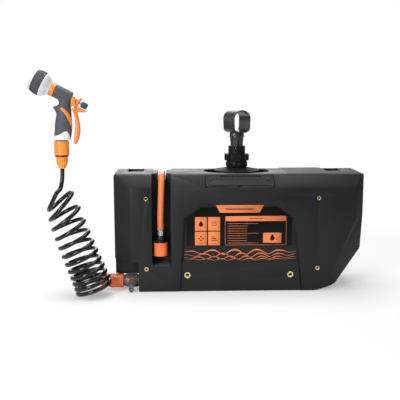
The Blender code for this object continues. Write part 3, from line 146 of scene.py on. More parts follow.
def place_camera():
    """The view from just left of the middle, a little above the tank's top."""
    data = bpy.data.cameras.new("camera")
    data.lens = CAMERA_LENS
    data.sensor_width = SENSOR
    data.clip_start = 0.01
    camera = put("camera", data)
    camera.location = CAMERA_PLACE
    camera.rotation_euler = (math.pi / 2 - CAMERA_DOWN, 0, -CAMERA_TURN)
    bpy.context.scene.camera = camera


def soft_lamp(name, place, aim, width, height, power):
    """A rectangular area lamp that points from its place at a spot."""
    data = bpy.data.lights.new(name, "AREA")
    data.shape = "RECTANGLE"
    data.size = width
    data.size_y = height
    data.energy = power
    lamp = put(name, data)
    lamp.location = place
    lamp.rotation_euler = (Vector(aim) - Vector(place)).to_track_quat("-Z", "Y").to_euler()


def light_studio():
    """Broad lamps overhead and behind, and two upright strips in front that draw highlights."""
    soft_lamp("overhead_lamp", (-0.1, 0.15, 1.9), (-0.05, 0.0, 0.1), 1.5, 1.5, 26)
    soft_lamp("back_lamp", (-0.3, 2.1, 1.0), (-0.1, 0.0, 0.2), 1.6, 1.6, 18)
    soft_lamp("left_strip", (-1.1, -1.55, 0.75), (-0.25, 0.0, 0.2), 0.35, 1.2, 22)
    soft_lamp("right_strip", (1.6, -1.2, 0.9), (0.1, 0.0, 0.2), 0.25, 1.2, 2)
    soft_lamp("left_lamp", (-2.0, 0.3, 0.8), (-0.2, 0.0, 0.2), 0.6, 1.0, 2)


def white_world():
    """A soft surround that lights weakly and shows as white to the camera."""
    world = bpy.data.worlds.new("studio")
    bpy.context.scene.world = world
    world.use_nodes = True
    tree = world.node_tree
    tree.nodes.clear()
    light = add(tree, "ShaderNodeBackground", Color=WHITE, Strength=0.27)
    seen = add(tree, "ShaderNodeBackground", Color=WHITE, Strength=1.0)
    mix = add(tree, "ShaderNodeMixShader", Fac=camera_ray(tree),
              _1=light.outputs["Background"], _2=seen.outputs["Background"])
    add(tree, "ShaderNodeOutputWorld", Surface=mix.outputs["Shader"])


def white_floor():
    """A round floor whose rim fades into the white surround; the camera sees its shadow paler."""
    radius, corners, fade_from, fade_to, paler_share = 1.9, 96, 0.55, 1.15, 0.35
    angle = np.arange(corners) * TAU / corners
    rim = radius * np.stack([np.cos(angle), np.sin(angle), 0 * angle], axis=1)
    floor = build_mesh("floor", rim, [range(corners)])
    mat, tree, shader = blank_material("floor_white")
    feed(tree, shader, Base_Color=(0.97, 0.97, 0.97, 1), Roughness=0.95, Specular_IOR_Level=0.0)
    share = maths(tree, "MULTIPLY", camera_ray(tree), paler_share)
    paler = add(tree, "ShaderNodeMixShader", Fac=share,
                _1=shader.outputs["BSDF"], _2=add(tree, "ShaderNodeEmission").outputs["Emission"])
    reach = add(tree, "ShaderNodeVectorMath", {"operation": "LENGTH"}, _0=object_place(tree))
    fade = add(tree, "ShaderNodeMapRange", {"interpolation_type": "SMOOTHERSTEP"},
               Value=reach.outputs["Value"], From_Min=fade_from, From_Max=fade_to)
    clear = add(tree, "ShaderNodeBsdfTransparent")
    mix = add(tree, "ShaderNodeMixShader", Fac=fade.outputs["Result"],
              _1=paler.outputs["Shader"], _2=clear.outputs["BSDF"])
    feed(tree, tree.nodes["Material Output"], Surface=mix.outputs["Shader"])
    floor.data.materials.append(mat)


# Surfaces
def unit(vectors):
    """Each row divided by its length."""
    return vectors / np.linalg.norm(vectors, axis=-1, keepdims=True)


def distance_along(path):
    """How far each point of a path lies along it, in metres."""
    return np.concatenate([[0], np.cumsum(np.linalg.norm(np.diff(path, axis=0), axis=1))])


def smooth_route(knots, count):
    """Evenly spaced points on a Catmull-Rom curve through the knots.

    On a span from b to c with neighbours a and d, the point at t is
    (2b + (c - a) t + (2a - 5b + 4c - d) t^2 + (3b - a - 3c + d) t^3) / 2.
    """
    knots = np.array(knots, float)
    knots = np.concatenate([[2 * knots[0] - knots[1]], knots, [2 * knots[-1] - knots[-2]]])
    a, b, c, d = (knots[i:len(knots) - 3 + i, None] for i in range(4))
    t = (np.arange(24) / 24)[None, :, None]
    fine = (2 * b + (c - a) * t + (2 * a - 5 * b + 4 * c - d) * t**2
            + (3 * b - a - 3 * c + d) * t**3) / 2
    fine = np.concatenate([fine.reshape(-1, knots.shape[1]), knots[-2:-1]])
    along = distance_along(fine)
    wanted = np.linspace(0, along[-1], count)
    return np.stack([np.interp(wanted, along, line) for line in fine.T], axis=1)


def grid_faces(rows, columns, wrap_rows, wrap_columns):
    """The corner numbers of a grid's quads, row by row."""
    i = np.arange(rows if wrap_rows else rows - 1)[:, None]
    j = np.arange(columns if wrap_columns else columns - 1)[None]
    i2, j2 = (i + 1) % rows, (j + 1) % columns
    quads = [i * columns + j, i * columns + j2, i2 * columns + j2, i2 * columns + j]
    return np.stack(np.broadcast_arrays(*quads), axis=-1).reshape(-1, 4)


def tube_faces(rows, columns):
    """The faces of rings in a row, with a flat face over each end."""
    first = np.arange(columns)
    return [*grid_faces(rows, columns, False, True).tolist(), first[::-1].tolist(),
            (first + (rows - 1) * columns).tolist()]


def ring_marks(path, sides):
    """The UV marks of rings along a path: the share of a turn as u, the metres along as v."""
    u, v = np.broadcast_arrays(np.arange(sides)[None] / sides, distance_along(path)[:, None])
    return np.stack([u.ravel(), v.ravel()], axis=1)


def build_mesh(name, verts, faces, marks=None):
    """An object from arrays; marks gives each vertex its u and v in the UV map."""
    mesh = bpy.data.meshes.new(name)
    mesh.from_pydata(np.asarray(verts, float).tolist(), [], [list(f) for f in faces])
    mesh.polygons.foreach_set("use_smooth", np.ones(len(mesh.polygons), bool))
    if marks is not None:
        corner = np.empty(len(mesh.loops), int)
        mesh.loops.foreach_get("vertex_index", corner)
        layer = mesh.uv_layers.new(name="UVMap")
        layer.data.foreach_set("uv", np.asarray(marks, float)[corner].ravel())
    mesh.update()
    return put(name, mesh)


def finish_of(node):
    """The finish of a node: its own one, or else that of its slot."""
    return OWN_FINISH.get(node, SLOTS[node])


def finish_piece(obj, *nodes, finish=None, body=None, slot=None, sharp=32):
    """Gives a piece its finish, sharp edges, body and the nodes that it replaces.

    The finish and the body are those of its first node where none is given. The slot is not used.
    """
    obj.data.materials.clear()
    obj.data.materials.append(MATS[finish or finish_of(nodes[0])])
    if sharp:
        obj.data.set_sharp_from_angle(angle=math.radians(sharp))
    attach(obj, body or body_of(NODES[nodes[0]])[0])
    if nodes:
        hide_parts(*nodes)
    return obj


def tube(name, path, radius, sides, side_hint):
    """A closed round tube: path(s) + radius (cos(a) n(s) + sin(a) b(s)).

    n is side_hint(s) less its share along the tangent, b is the tangent times n. The UV map
    holds the angle as u and the length along the path, in metres, as v.
    """
    tangent = unit(np.gradient(path, axis=0))
    hint = np.broadcast_to(side_hint, path.shape)
    normal = unit(hint - tangent * np.sum(hint * tangent, axis=1, keepdims=True))
    across = np.cross(tangent, normal)
    angle = (np.arange(sides) * TAU / sides)[None, :, None]
    rings = path[:, None] + radius * (np.cos(angle) * normal[:, None]
                                      + np.sin(angle) * across[:, None])
    return build_mesh(name, rings.reshape(-1, 3), tube_faces(len(path), sides),
                      ring_marks(path, sides))


def round_edges(obj, width, segments=2):
    """A live bevel on the edges that are sharper than 30 degrees."""
    mod = obj.modifiers.new("Edges", "BEVEL")
    mod.width = width
    mod.segments = segments
    mod.limit_method = "ANGLE"
    mod.angle_limit = math.radians(30)
    mod.use_clamp_overlap = False
    mod.miter_outer = "MITER_ARC"
    mod.harden_normals = True


def skin_copy(node, name, width, segments, above=None):
    """A copy of a CAD node with its doubles merged and its hard edges rounded.

    Faces within 1 degree are merged, but not on the shell, where that bends the recess's
    shoulder. With above, only what lies above that height is kept.
    """
    mesh = NODES[node].data.copy()
    mesh.name = name
    bm = bmesh.new()
    bm.from_mesh(mesh)
    bmesh.ops.remove_doubles(bm, verts=bm.verts, dist=1e-6)
    if node != "tank_shell":
        bmesh.ops.dissolve_limit(bm, angle_limit=math.radians(1), verts=bm.verts, edges=bm.edges)
    if above:
        bmesh.ops.bisect_plane(bm, geom=[*bm.verts, *bm.edges, *bm.faces], dist=1e-7,
                               plane_co=(0, 0, above), plane_no=(0, 0, 1), clear_inner=True)
        bmesh.ops.holes_fill(bm, edges=[e for e in bm.edges if e.is_boundary])
    bm.to_mesh(mesh)
    bm.free()
    mesh.polygons.foreach_set("use_smooth", np.ones(len(mesh.polygons), bool))
    obj = put(name, mesh)
    round_edges(obj, width, segments)
    return obj


def skin_piece(node, width, segments):
    """A softened copy of a node that stands for it."""
    return finish_piece(skin_copy(node, node + "_skin", width, segments), node)


# The hoses
def coil_point(turn):
    """Points of the coil's centreline, counted in turns from the left end of the top loop.

    centre(up) + radius(up) (cos(a) across(up) + sin(a) Y), where up runs from 0 at the foot
    to 1 at the top, and the plane of a turn leans further over the higher it lies.
    """
    up = (COIL_TURNS - turn) / COIL_TURNS
    lean = np.radians(COIL_LEAN + 6 * up + COIL_CURL * np.maximum(up, 0) ** 6.5)
    radius = (COIL_RADIUS - COIL_TAPER * up)[:, None]
    centre = COIL_FOOT + up[:, None] ** (1, 2, 3) @ np.array(COIL_CLIMB)
    across = np.stack([np.cos(lean), 0 * lean, np.sin(lean)], axis=1)
    angle = (math.pi - TAU * turn)[:, None]
    return centre + radius * (across * np.cos(angle) + np.array([0, 1, 0]) * np.sin(angle))


def spray_hose():
    """The black coiled hose in one piece, from the gun's connector to the tap's connector."""
    turn = np.arange(-COIL_LEAD * COIL_STEPS, COIL_TURNS * COIL_STEPS + 1) / COIL_STEPS
    coil = coil_point(turn)
    rough = coil_point(np.array([-COIL_LEAD, -COIL_LEAD + 1 / 24,
                                 COIL_TURNS - 1 / 24, COIL_TURNS]))
    run = 1.8 * HOSE_RADIUS
    start = unit(rough[1] - rough[0])
    stop = unit(rough[3] - rough[2])
    down = smooth_route([*GUN_LEAD, rough[0] - start * run, rough[0] - start * SEAT], 44)
    tail = smooth_route([rough[3] + stop * SEAT, rough[3] + stop * run, *TAP_LEAD], 56)
    path = np.concatenate([down, coil, tail])
    blend = np.clip((np.arange(len(path)) - len(down) + 14) / 28, 0, 1)[:, None]
    hint = np.array([1.0, 0.0, 0.0]) * (1 - blend) + np.array([0.0, 0.0, 1.0]) * blend
    obj = finish_piece(tube("spray_hose", path, HOSE_RADIUS, 20, hint),
                       "hose_lead_gun", "coil_hose", "hose_lead_tap")


def filling_hose():
    """The orange hose from the tank's back through the channel to its connector."""
    path = smooth_route(FILL_ROUTE, 150)
    obj = finish_piece(tube("filling_hose", path, FILL_RADIUS, 28, (1.0, 0.0, 0.0)), "fill_hose")


# Shared effects for the materials
def new_group(name, inputs, outputs):
    """An empty node group; an input's first value tells its kind, and a tuple is a colour."""
    tree = bpy.data.node_groups.new(name, "ShaderNodeTree")
    for label, value in inputs.items():
        kind = "NodeSocketColor" if isinstance(value, tuple) else "NodeSocketFloat"
        socket = tree.interface.new_socket(label, in_out="INPUT", socket_type=kind)
        socket.default_value = value
    for label in outputs:
        kind = "NodeSocketColor" if label == "Color" else "NodeSocketFloat"
        tree.interface.new_socket(label, in_out="OUTPUT", socket_type=kind)
    return tree, tree.nodes.new("NodeGroupInput").outputs, tree.nodes.new("NodeGroupOutput")


def feed(tree, node, **inputs):
    """Gives a node its inputs: a socket is linked, a value is set, and _2 is input number 2."""
    for key, value in inputs.items():
        socket = node.inputs[int(key[1:]) if key[0] == "_" else key.replace("_", " ")]
        if isinstance(value, bpy.types.NodeSocket):
            tree.links.new(value, socket)
        else:
            socket.default_value = value
    return node


def add(tree, kind, settings=None, **inputs):
    """A new node with its settings and its inputs."""
    node = tree.nodes.new(kind)
    for key, value in (settings or {}).items():
        setattr(node, key, value)
    return feed(tree, node, **inputs)


def object_place(tree):
    """The place on the object, for a pattern that stays with it."""
    return add(tree, "ShaderNodeTexCoord").outputs["Object"]


def camera_ray(tree):
    """1 for what the camera sees straight away, else 0."""
    return add(tree, "ShaderNodeLightPath").outputs["Is Camera Ray"]


def noise(tree, place, scale, detail, rough=0.5):
    """Soft noise from 0 to 1."""
    return add(tree, "ShaderNodeTexNoise", Vector=place, Scale=scale, Detail=detail,
               Roughness=rough).outputs["Fac"]


def ranged(tree, value, low, high, start=0.0, stop=1.0):
    """A value from low to high, carried over to start to stop and held there."""
    return add(tree, "ShaderNodeMapRange", Value=value, From_Min=low, From_Max=high,
               To_Min=start, To_Max=stop).outputs["Result"]


def maths(tree, operation, *values, clamp=False):
    """The result of an operation on numbers or sockets."""
    return add(tree, "ShaderNodeMath", {"operation": operation, "use_clamp": clamp},
               **{f"_{i}": value for i, value in enumerate(values)}).outputs[0]


def toned(tree, colour, factor):
    """A colour made lighter or darker by a factor."""
    return add(tree, "ShaderNodeVectorMath", {"operation": "SCALE"}, _0=colour,
               Scale=factor).outputs["Vector"]


def moulded_group():
    """Moulded plastic: fine grain, a cloudy tone and soft scuffs."""
    tree, given, out = new_group(
        "moulded_surface", {"Tone": (0.02, 0.02, 0.02, 1), "Gloss Loss": 0.5, "Grain": 900.0,
                            "Scuffs": 0.5}, ("Color", "Roughness", "Height"))
    place = object_place(tree)
    grain = noise(tree, place, given["Grain"], 3.0, 0.6)
    cloud = noise(tree, place, 11.0, 4.0)
    stretched = add(tree, "ShaderNodeMapping", Vector=place, Rotation=(0.3, 0.5, 0.2),
                    Scale=(1.0, 9.0, 2.2)).outputs["Vector"]
    scratch = ranged(tree, noise(tree, stretched, 55.0, 5.0, 0.7), 0.60, 0.74)
    scuff = maths(tree, "MULTIPLY", scratch, given["Scuffs"])
    level = maths(tree, "MULTIPLY", ranged(tree, cloud, 0.3, 0.7, 0.90, 1.12),
                  ranged(tree, grain, 0.3, 0.7, 0.93, 1.07))
    tone = toned(tree, given["Tone"], maths(tree, "MULTIPLY_ADD", scuff, 0.35, level))
    rough = maths(tree, "ADD", given["Gloss Loss"], ranged(tree, cloud, 0.3, 0.7, -0.05, 0.05))
    rough = maths(tree, "MULTIPLY_ADD", scuff, 0.15, rough, clamp=True)
    feed(tree, out, Color=tone, Roughness=rough, Height=grain)
    return tree


def dust_and_sheen_group():
    """A pale veil on faces that look upwards, partly a dusty film and partly a painted sheen of
    the light that grazes the tops: it grows with the normal's Z.
    """
    tree, given, out = new_group("settled_dust_and_sheen", {"Color": (0.02, 0.02, 0.02, 1), "Amount": 0.1},
                                 ("Color",))
    facing = add(tree, "ShaderNodeSeparateXYZ",
                 Vector=add(tree, "ShaderNodeNewGeometry").outputs["Normal"])
    patch = noise(tree, object_place(tree), 24.0, 6.0, 0.65)
    part = maths(tree, "MULTIPLY", ranged(tree, facing.outputs["Z"], 0.75, 1.0),
                 ranged(tree, patch, 0.25, 0.75, 0.55))
    part = maths(tree, "MULTIPLY", part, given["Amount"])
    mix = add(tree, "ShaderNodeMix", {"data_type": "RGBA"}, _0=part, _6=given["Color"],
              _7=(0.33, 0.33, 0.32, 1))
    feed(tree, out, Color=mix.outputs[2])
    return tree


def turned_metal_group():
    """Machined metal: a very fine grain, and tarnish in soft patches."""
    tree, given, out = new_group("turned_metal", {"Tone": (0.8, 0.6, 0.25, 1), "Gloss Loss": 0.25},
                                 ("Color", "Roughness", "Height"))
    place = object_place(tree)
    patch = noise(tree, place, 140.0, 4.0)
    tone = toned(tree, given["Tone"], ranged(tree, patch, 0.3, 0.7, 0.82, 1.08))
    rough = maths(tree, "ADD", given["Gloss Loss"], ranged(tree, patch, 0.3, 0.7, 0.10, -0.04))
    feed(tree, out, Color=tone, Roughness=rough, Height=noise(tree, place, 1400.0, 2.0))
    return tree


MOULDED = moulded_group()
DUST_AND_SHEEN = dust_and_sheen_group()
METAL = turned_metal_group()


def blank_material(name):
    """A material with its tree and its shader."""
    mat = bpy.data.materials.new(name)
    mat.use_nodes = True
    return mat, mat.node_tree, mat.node_tree.nodes["Principled BSDF"]


def plastic(name, tone, rough, grain=900, depth=0.00003, scuffs=0.4, dust_and_sheen=0.0, coat=0.0,
            sheen=0.0, strength=0.35, shine=0.5):
    """Moulded plastic or rubber with its grain as a bump."""
    mat, tree, shader = blank_material(name)
    skin = add(tree, "ShaderNodeGroup", {"node_tree": MOULDED}, Tone=(*tone, 1),
               Gloss_Loss=rough, Grain=grain, Scuffs=scuffs).outputs
    colour = skin["Color"]
    # Mixes in the pale veil: a dusty film and a painted sheen on faces that look upwards.
    if dust_and_sheen:
        colour = add(tree, "ShaderNodeGroup", {"node_tree": DUST_AND_SHEEN}, Color=colour,
                     Amount=dust_and_sheen).outputs["Color"]
    bump = add(tree, "ShaderNodeBump", Height=skin["Height"], Distance=depth, Strength=strength)
    feed(tree, shader, Base_Color=colour, Roughness=skin["Roughness"],
         Normal=bump.outputs["Normal"], Specular_IOR_Level=shine, Coat_Weight=coat,
         Coat_Roughness=0.12, Sheen_Weight=sheen)
    return mat


def metal(name, tone, rough):
    """Bright turned metal."""
    mat, tree, shader = blank_material(name)
    skin = add(tree, "ShaderNodeGroup", {"node_tree": METAL}, Tone=(*tone, 1),
               Gloss_Loss=rough).outputs
    bump = add(tree, "ShaderNodeBump", Height=skin["Height"], Distance=0.00002, Strength=0.3)
    feed(tree, shader, Base_Color=skin["Color"], Roughness=skin["Roughness"],
         Normal=bump.outputs["Normal"], Metallic=1.0)
    return mat


# The finishes: those of the record's slots, then those of single pieces
MATS = {
    # The tank's veil on upward faces is partly a dusty film and partly a painted sheen of the
    # light grazing its top.
    "tank_plastic": plastic("tank_black", (0.0135, 0.0137, 0.0150), 0.52, 700, 0.00006,
                            dust_and_sheen=0.36, shine=0.26),
    "cover_plastic": plastic("cover_grey", (0.0110, 0.0112, 0.0124), 0.46, shine=0.22),
    "label_film": plastic("label_gloss", (0.0050, 0.0051, 0.0058), 0.18, 120, 0.00002,
                          scuffs=0.15, strength=0.10, shine=0.14),
    "orange_plastic": plastic("orange_moulding", (0.92, 0.165, 0.037), 0.27, 1100,
                              scuffs=0.25, coat=0.5),
    "orange_hose": plastic("orange_hose_skin", (0.90, 0.215, 0.055), 0.36, 500, 0.00004,
                           scuffs=0.25),
    "black_hose": plastic("black_hose_skin", (0.0060, 0.0060, 0.0065), 0.13, 260, 0.00002,
                          scuffs=0.2, strength=0.15),
    "dark_plastic": plastic("black_satin", (0.0100, 0.0102, 0.0110), 0.33, 1000, shine=0.4),
    "tap_plastic": plastic("tap_grey", (0.110, 0.113, 0.122), 0.36),
    "grip_plastic": plastic("soft_grip", (0.058, 0.068, 0.078), 0.58, 1500, 0.00005,
                            scuffs=0.3, sheen=0.25),
    "silver_plastic": plastic("silver_lacquer", (0.77, 0.785, 0.81), 0.36, 1600, 0.000004,
                              scuffs=0.1, coat=0.15),
    "seal_rubber": plastic("seal_black", (0.012, 0.012, 0.012), 0.78, 600, 0.00004),
    "brass": metal("bright_brass", (0.93, 0.73, 0.40), 0.21),
    "steel": metal("bright_steel", (0.77, 0.77, 0.78), 0.24),
    "gun_orange": plastic("amber_moulding", (0.95, 0.285, 0.036), 0.30, 1100, scuffs=0.25,
                          coat=0.15),
    # A brighter copy of the orange moulding for the tap's sleeve, nut and ring: painted light that
    # lifts their shade.
    "tap_orange_brightened": plastic("tap_orange_brightened", (1.0, 0.19, 0.045), 0.30, 1100, scuffs=0.25, coat=0.3),
    "trigger_orange": plastic("trigger_orange", (0.90, 0.235, 0.057), 0.28, 1100, scuffs=0.25,
                              coat=0.3),
    "print_orange": plastic("print_orange", (0.96, 0.275, 0.095), 0.34, 300, 0.00001,
                            scuffs=0.15, strength=0.1, shine=0.3),
    "dial_soft": plastic("dial_soft", (0.056, 0.061, 0.071), 0.50, 1500, 0.00004, scuffs=0.3,
                         shine=0.35),
    "holder_black": plastic("holder_black", (0.0115, 0.0120, 0.0140), 0.26, 1000, shine=1.0),
    "holder_dull": plastic("holder_dull", (0.0060, 0.0061, 0.0066), 0.50, 1000, shine=0.22),
    "cap_black": plastic("cap_black", (0.0100, 0.0102, 0.0110), 0.55, 1000, 0.00004,
                         shine=0.12),
    "lever_grey": plastic("lever_grey", (0.062, 0.064, 0.072), 0.30),
    # The tread's veil is partly a dusty film and partly a painted sheen of grazing light.
    "tread_grey": plastic("tread_grey", (0.0270, 0.0273, 0.0290), 0.50, 700, 0.00004,
                          dust_and_sheen=0.50, shine=0.30),
    "mark_black": plastic("mark_black", (0.0030, 0.0030, 0.0035), 0.60, depth=0.00002,
                          shine=0.06),
}
OWN_FINISH = {
    "holder_loop": "holder_black", "gun_connector_core": "holder_black",
    "holder_nut": "holder_dull", "holder_socket": "holder_dull", "holder_ring": "holder_dull",
    "filler_cap": "cap_black", "gun_dial": "dial_soft", "flow_knob": "dial_soft",
    # The tap's orange parts take the brightened copy, painted light over their shade.
    "trigger": "trigger_orange", "tap_handle": "lever_grey", "tap_ring": "tap_orange_brightened",
    "tap_connector_sleeve": "tap_orange_brightened", "tap_connector_nut": "tap_orange_brightened",
    "gun_connector_sleeve": "gun_orange", "gun_connector_nut": "gun_orange",
    "gun_ring": "gun_orange", "gun_inlay": "gun_orange", "gun_yoke": "gun_orange",
}


# Turned, lofted and printed forms: each is its vertices, faces and UV marks
def frame_at(origin, along, side=(0.0, 0.0, 1.0)):
    """A place: its origin and, as rows, its axes x, y and z, with z along the direction."""
    z = unit(np.array(along, float))
    x = unit(np.array(side, float) - z * np.dot(side, z))
    return np.array(origin, float), np.stack([x, np.cross(z, x), z])


def turned(profile, place, sides, flutes=0, power=1.0, closed=True):
    """Rings round the place's z: (r(k) - d(k) w(a)) (cos(a) x + sin(a) y) + h(k) z.

    The profile's rows are r, h and the flutes' depth d, and w(a) is
    (1/2 - cos(flutes a) / 2) ^ power. It rises along the outside; closed joins its ends.
    """
    origin, axes = place
    radius, height, depth = np.array([(*row, 0.0)[:3] for row in profile], float).T
    angle = np.arange(sides) * TAU / sides
    wave = (0.5 - 0.5 * np.cos(flutes * angle)) ** power
    reach = (radius[:, None] - depth[:, None] * wave)[..., None]
    rings = (origin + reach * (np.cos(angle)[:, None] * axes[0] + np.sin(angle)[:, None] * axes[1])
             + height[:, None, None] * axes[2])
    rows = len(profile)
    faces = grid_faces(rows, sides, True, True).tolist() if closed else tube_faces(rows, sides)
    return rings.reshape(-1, 3), faces, ring_marks(np.stack([radius, height], axis=1), sides)


def lifted(height, profile):
    """A profile whose heights are counted from the given one."""
    return [(row[0], row[1] + height, *row[2:]) for row in profile]


def turned_piece(node, profile, place, sides, flutes=0, power=1.0, closed=True):
    """A piece turned from its profile that stands for a node."""
    form = turned(profile, place, sides, flutes, power, closed)
    return finish_piece(joined(node + "_turned", [form]), node)


def carried(outline, low, high, place):
    """A flat outline in the place's x and y, carried along its z from low to high."""
    origin, axes = place
    flat = np.array(outline, float)
    area = np.sum(flat[:, 0] * np.roll(flat[:, 1], -1) - flat[:, 1] * np.roll(flat[:, 0], -1))
    flat = flat if area > 0 else flat[::-1]
    level = np.repeat([low, high], len(flat))[:, None]
    around = np.tile(flat, (2, 1))
    return origin + around @ axes[:2] + level * axes[2], tube_faces(2, len(flat)), around


def joined(name, forms):
    """One object from several forms."""
    starts = np.cumsum([0] + [len(verts) for verts, _, _ in forms])
    faces = [[int(i + start) for i in face]
             for start, (_, some, _) in zip(starts, forms) for face in some]
    return build_mesh(name, np.concatenate([verts for verts, _, _ in forms]), faces,
                      np.concatenate([marks for _, _, marks in forms]))


def soft_section(sides, power):
    """c^power and s^power round a section, with c the cosine, s the sine and their signs kept."""
    angle = (np.arange(sides) + 0.5) * TAU / sides
    return [np.sign(side) * np.abs(side) ** power for side in (np.cos(angle), np.sin(angle))]


def disc(x, z, radius, count=28):
    """A round outline."""
    angle = np.arange(count) * TAU / count
    return np.stack([x + radius * np.cos(angle), z + radius * np.sin(angle)], axis=1)


def oblong(x0, z0, x1, z1, corner=0.0):
    """A rectangle's outline with rounded corners: a quarter circle about each corner."""
    turn = np.repeat(np.arange(4), 5) * TAU / 4 + np.tile(np.linspace(0, TAU / 4, 5), 4)
    right = np.repeat([x1 - corner, x0 + corner, x0 + corner, x1 - corner], 5)
    high = np.repeat([z1 - corner, z1 - corner, z0 + corner, z0 + corner], 5)
    line = np.stack([right + corner * np.cos(turn), high + corner * np.sin(turn)], axis=1)
    return line if corner else line[::5]


def ribbon(x, z, width):
    """A band's outline: its middle line z(x), and half its width(x) above and below it."""
    upper = np.stack([x, z + width / 2], axis=1)
    lower = np.stack([x, z - width / 2], axis=1)
    return np.concatenate([lower, upper[::-1]])


def drop(x, z, size, count=30):
    """A drop's outline: a circle whose top is drawn out to a point."""
    angle = np.arange(count) * TAU / count + TAU / 4
    lift = np.clip(np.sin(angle), 0, 1) ** 3
    return np.stack([x + size * np.cos(angle) * (1 - 0.45 * lift),
                     z + size * (np.sin(angle) + 0.75 * lift)], axis=1)


# The print on the front
def front_place(face_y):
    """A place on an upright front face: its x and y are the tank's X and Z."""
    return (np.array([0.0, face_y, 0.0]),
            np.array([[1.0, 0.0, 0.0], [0.0, 0.0, 1.0], [0.0, -1.0, 0.0]]))


def banner():
    """The sheet at the label's top: it lies on the label and bends up the recess's slope.

    Its half width grows evenly from the foot to the top.
    """
    height = np.array([0.1950, 0.1962, 0.2097, 0.2144, 0.2144, 0.2095, 0.1962, 0.1950])
    out = np.array([-0.07812, -0.07812, -0.07812, -0.08355, -0.0832, -0.0778, -0.0778, -0.0778])
    half = 0.0482 + (height - 0.1950) * 0.53 - 0.0020 * (height < 0.1955)
    side = np.array([-1.0, 1.0])[:, None]
    verts = np.stack(np.broadcast_arrays(side * half + 0.0010, out, height), axis=-1)
    verts = verts.reshape(-1, 3)
    faces = [face[::-1] for face in tube_faces(2, len(height))]
    return verts, faces, verts[:, [0, 2]]


def printed(name, forms, finish):
    """A thin print on the label."""
    finish_piece(joined(name, forms), finish=finish, body="tank", slot="label_film", sharp=0)


def wave_outlines():
    """Four bands of waves: level + swing (c - c^2 / 4) fade, with c the sine along x."""
    left, width, count = -0.1345, 0.275, 120
    x = np.linspace(left, left + width, count)
    fade = np.sin(np.linspace(0.04, math.pi - 0.04, count)) ** 0.6
    outlines = []
    for level, swing, waves, shift, thick in (
            (0.0985, 0.0062, 5.0, 0.0, 0.0026), (0.0905, 0.0052, 6.0, 1.1, 0.0019),
            (0.0840, 0.0040, 7.0, 2.4, 0.0015), (0.0793, 0.0022, 8.0, 3.9, 0.0011)):
        crest = np.sin(waves * TAU * (x - left) / width + shift)
        z = level + swing * (crest - 0.25 * crest**2) * fade
        outlines.append(ribbon(x, z, thick * fade * (1.15 + 0.45 * crest)))
    return outlines


def motif_outlines():
    """What lies on the orange: drops, ripples, dots, steps and short lines."""
    marks = [drop(-0.0933, 0.1662, 0.0052), drop(0.0808, 0.1312, 0.0056),
             oblong(0.0230, 0.1795, 0.0570, 0.1809, 0.0006)]
    x = np.linspace(-0.0070, 0.0070, 30)
    for level in (0.1638, 0.1678, 0.1718):
        marks.append(ribbon(x - 0.0612, level + 0.0010 * np.sin(TAU * x / 0.0070), 0.0011 + 0 * x))
    for x, z in ((0.0046, 0), (0, 0.0046), (-0.0046, 0), (0, -0.0046)):
        marks.append(disc(x - 0.0933, z + 0.1316, 0.0019))
    for k in range(3):
        z = 0.1262 + 0.0042 * k
        marks.append(oblong(-0.0680, z, -0.0544 - 0.0030 * k, z + 0.0020, 0.0008))
    for x in (-0.0975, -0.0655):
        for z in (0.1552, 0.1190):
            marks.append(oblong(x, z, x + 0.0084, z + 0.0006, 0.0002))
    return marks


def label_print():
    """A banner, four tiles with plain water motifs, a framed gauge and bands of waves."""
    face = front_place(LABEL_FACE_Y)
    thin = (0.00002, 0.00012)
    tiles = [oblong(x, z, x + 0.0293, z + 0.0337, 0.0008)
             for z in (0.1510, 0.1148) for x in (-0.1079, -0.0759)]
    left, right, low, high, line = -0.0345, 0.1150, 0.1148, 0.1866, 0.0007
    frame_bars = [oblong(*box, 0.0003) for box in (
        (left, high - 0.0125, right, high), (left, low, right, low + line),
        (left, low, left + line, high), (right - line, low, right, high),
        (0.0585, 0.1200, 0.1030, 0.1450))]
    start, pitch = -0.0285, 0.0060
    lines = [oblong(start, 0.1196 + pitch * i, start + (0.048 if i % 4 else 0.075),
                    0.1204 + pitch * i, 0.0003) for i in range(9)]
    forms = [carried(outline, *thin, face) for outline in tiles + frame_bars + lines]
    waves = [carried(outline, *thin, front_place(RECESS_FACE_Y)) for outline in wave_outlines()]
    printed("label_print", [banner(), *forms, *waves], "print_orange")
    printed("label_motifs", [carried(mark, 0.00013, 0.00019, face) for mark in motif_outlines()],
            "label_film")
    bars = [oblong(-0.0330 + 0.0022 * k, 0.2012, -0.0318 + 0.0022 * k, 0.2056, 0.0004)
            for k in range(31)]
    printed("banner_bars", [carried(bar, 0.00012, 0.00020, face) for bar in bars], "label_film")


def band_place(x=0.0, down=0.0):
    """A place on the sloping band: x along the tank, y up the slope, z straight out of it."""
    slope = unit(np.array([0.0, BAND_DEPTH, BAND_HEIGHT]))
    origin = np.array([x, FRONT_Y + BAND_DEPTH, TANK_HEIGHT]) - slope * down
    return origin, np.stack([np.array([1.0, 0, 0]), slope, np.cross([1.0, 0, 0], slope)])


def plate_marks():
    """A row of short dark ribs along the cover plate's upper edge."""
    forms = []
    for k in range(15):
        x, tall = -0.0440 + 0.0066 * k, 0.0036 if k % 2 else 0.0052
        forms.append(carried(oblong(x, -tall / 2, x + 0.0036, tall / 2, 0.0007), 0.0002, 0.0014,
                             band_place(down=0.0078)))
    obj = joined("plate_ribs", forms)
    round_edges(obj, 0.0002)
    finish_piece(obj, finish="mark_black", body="tank", slot="cover_plastic")


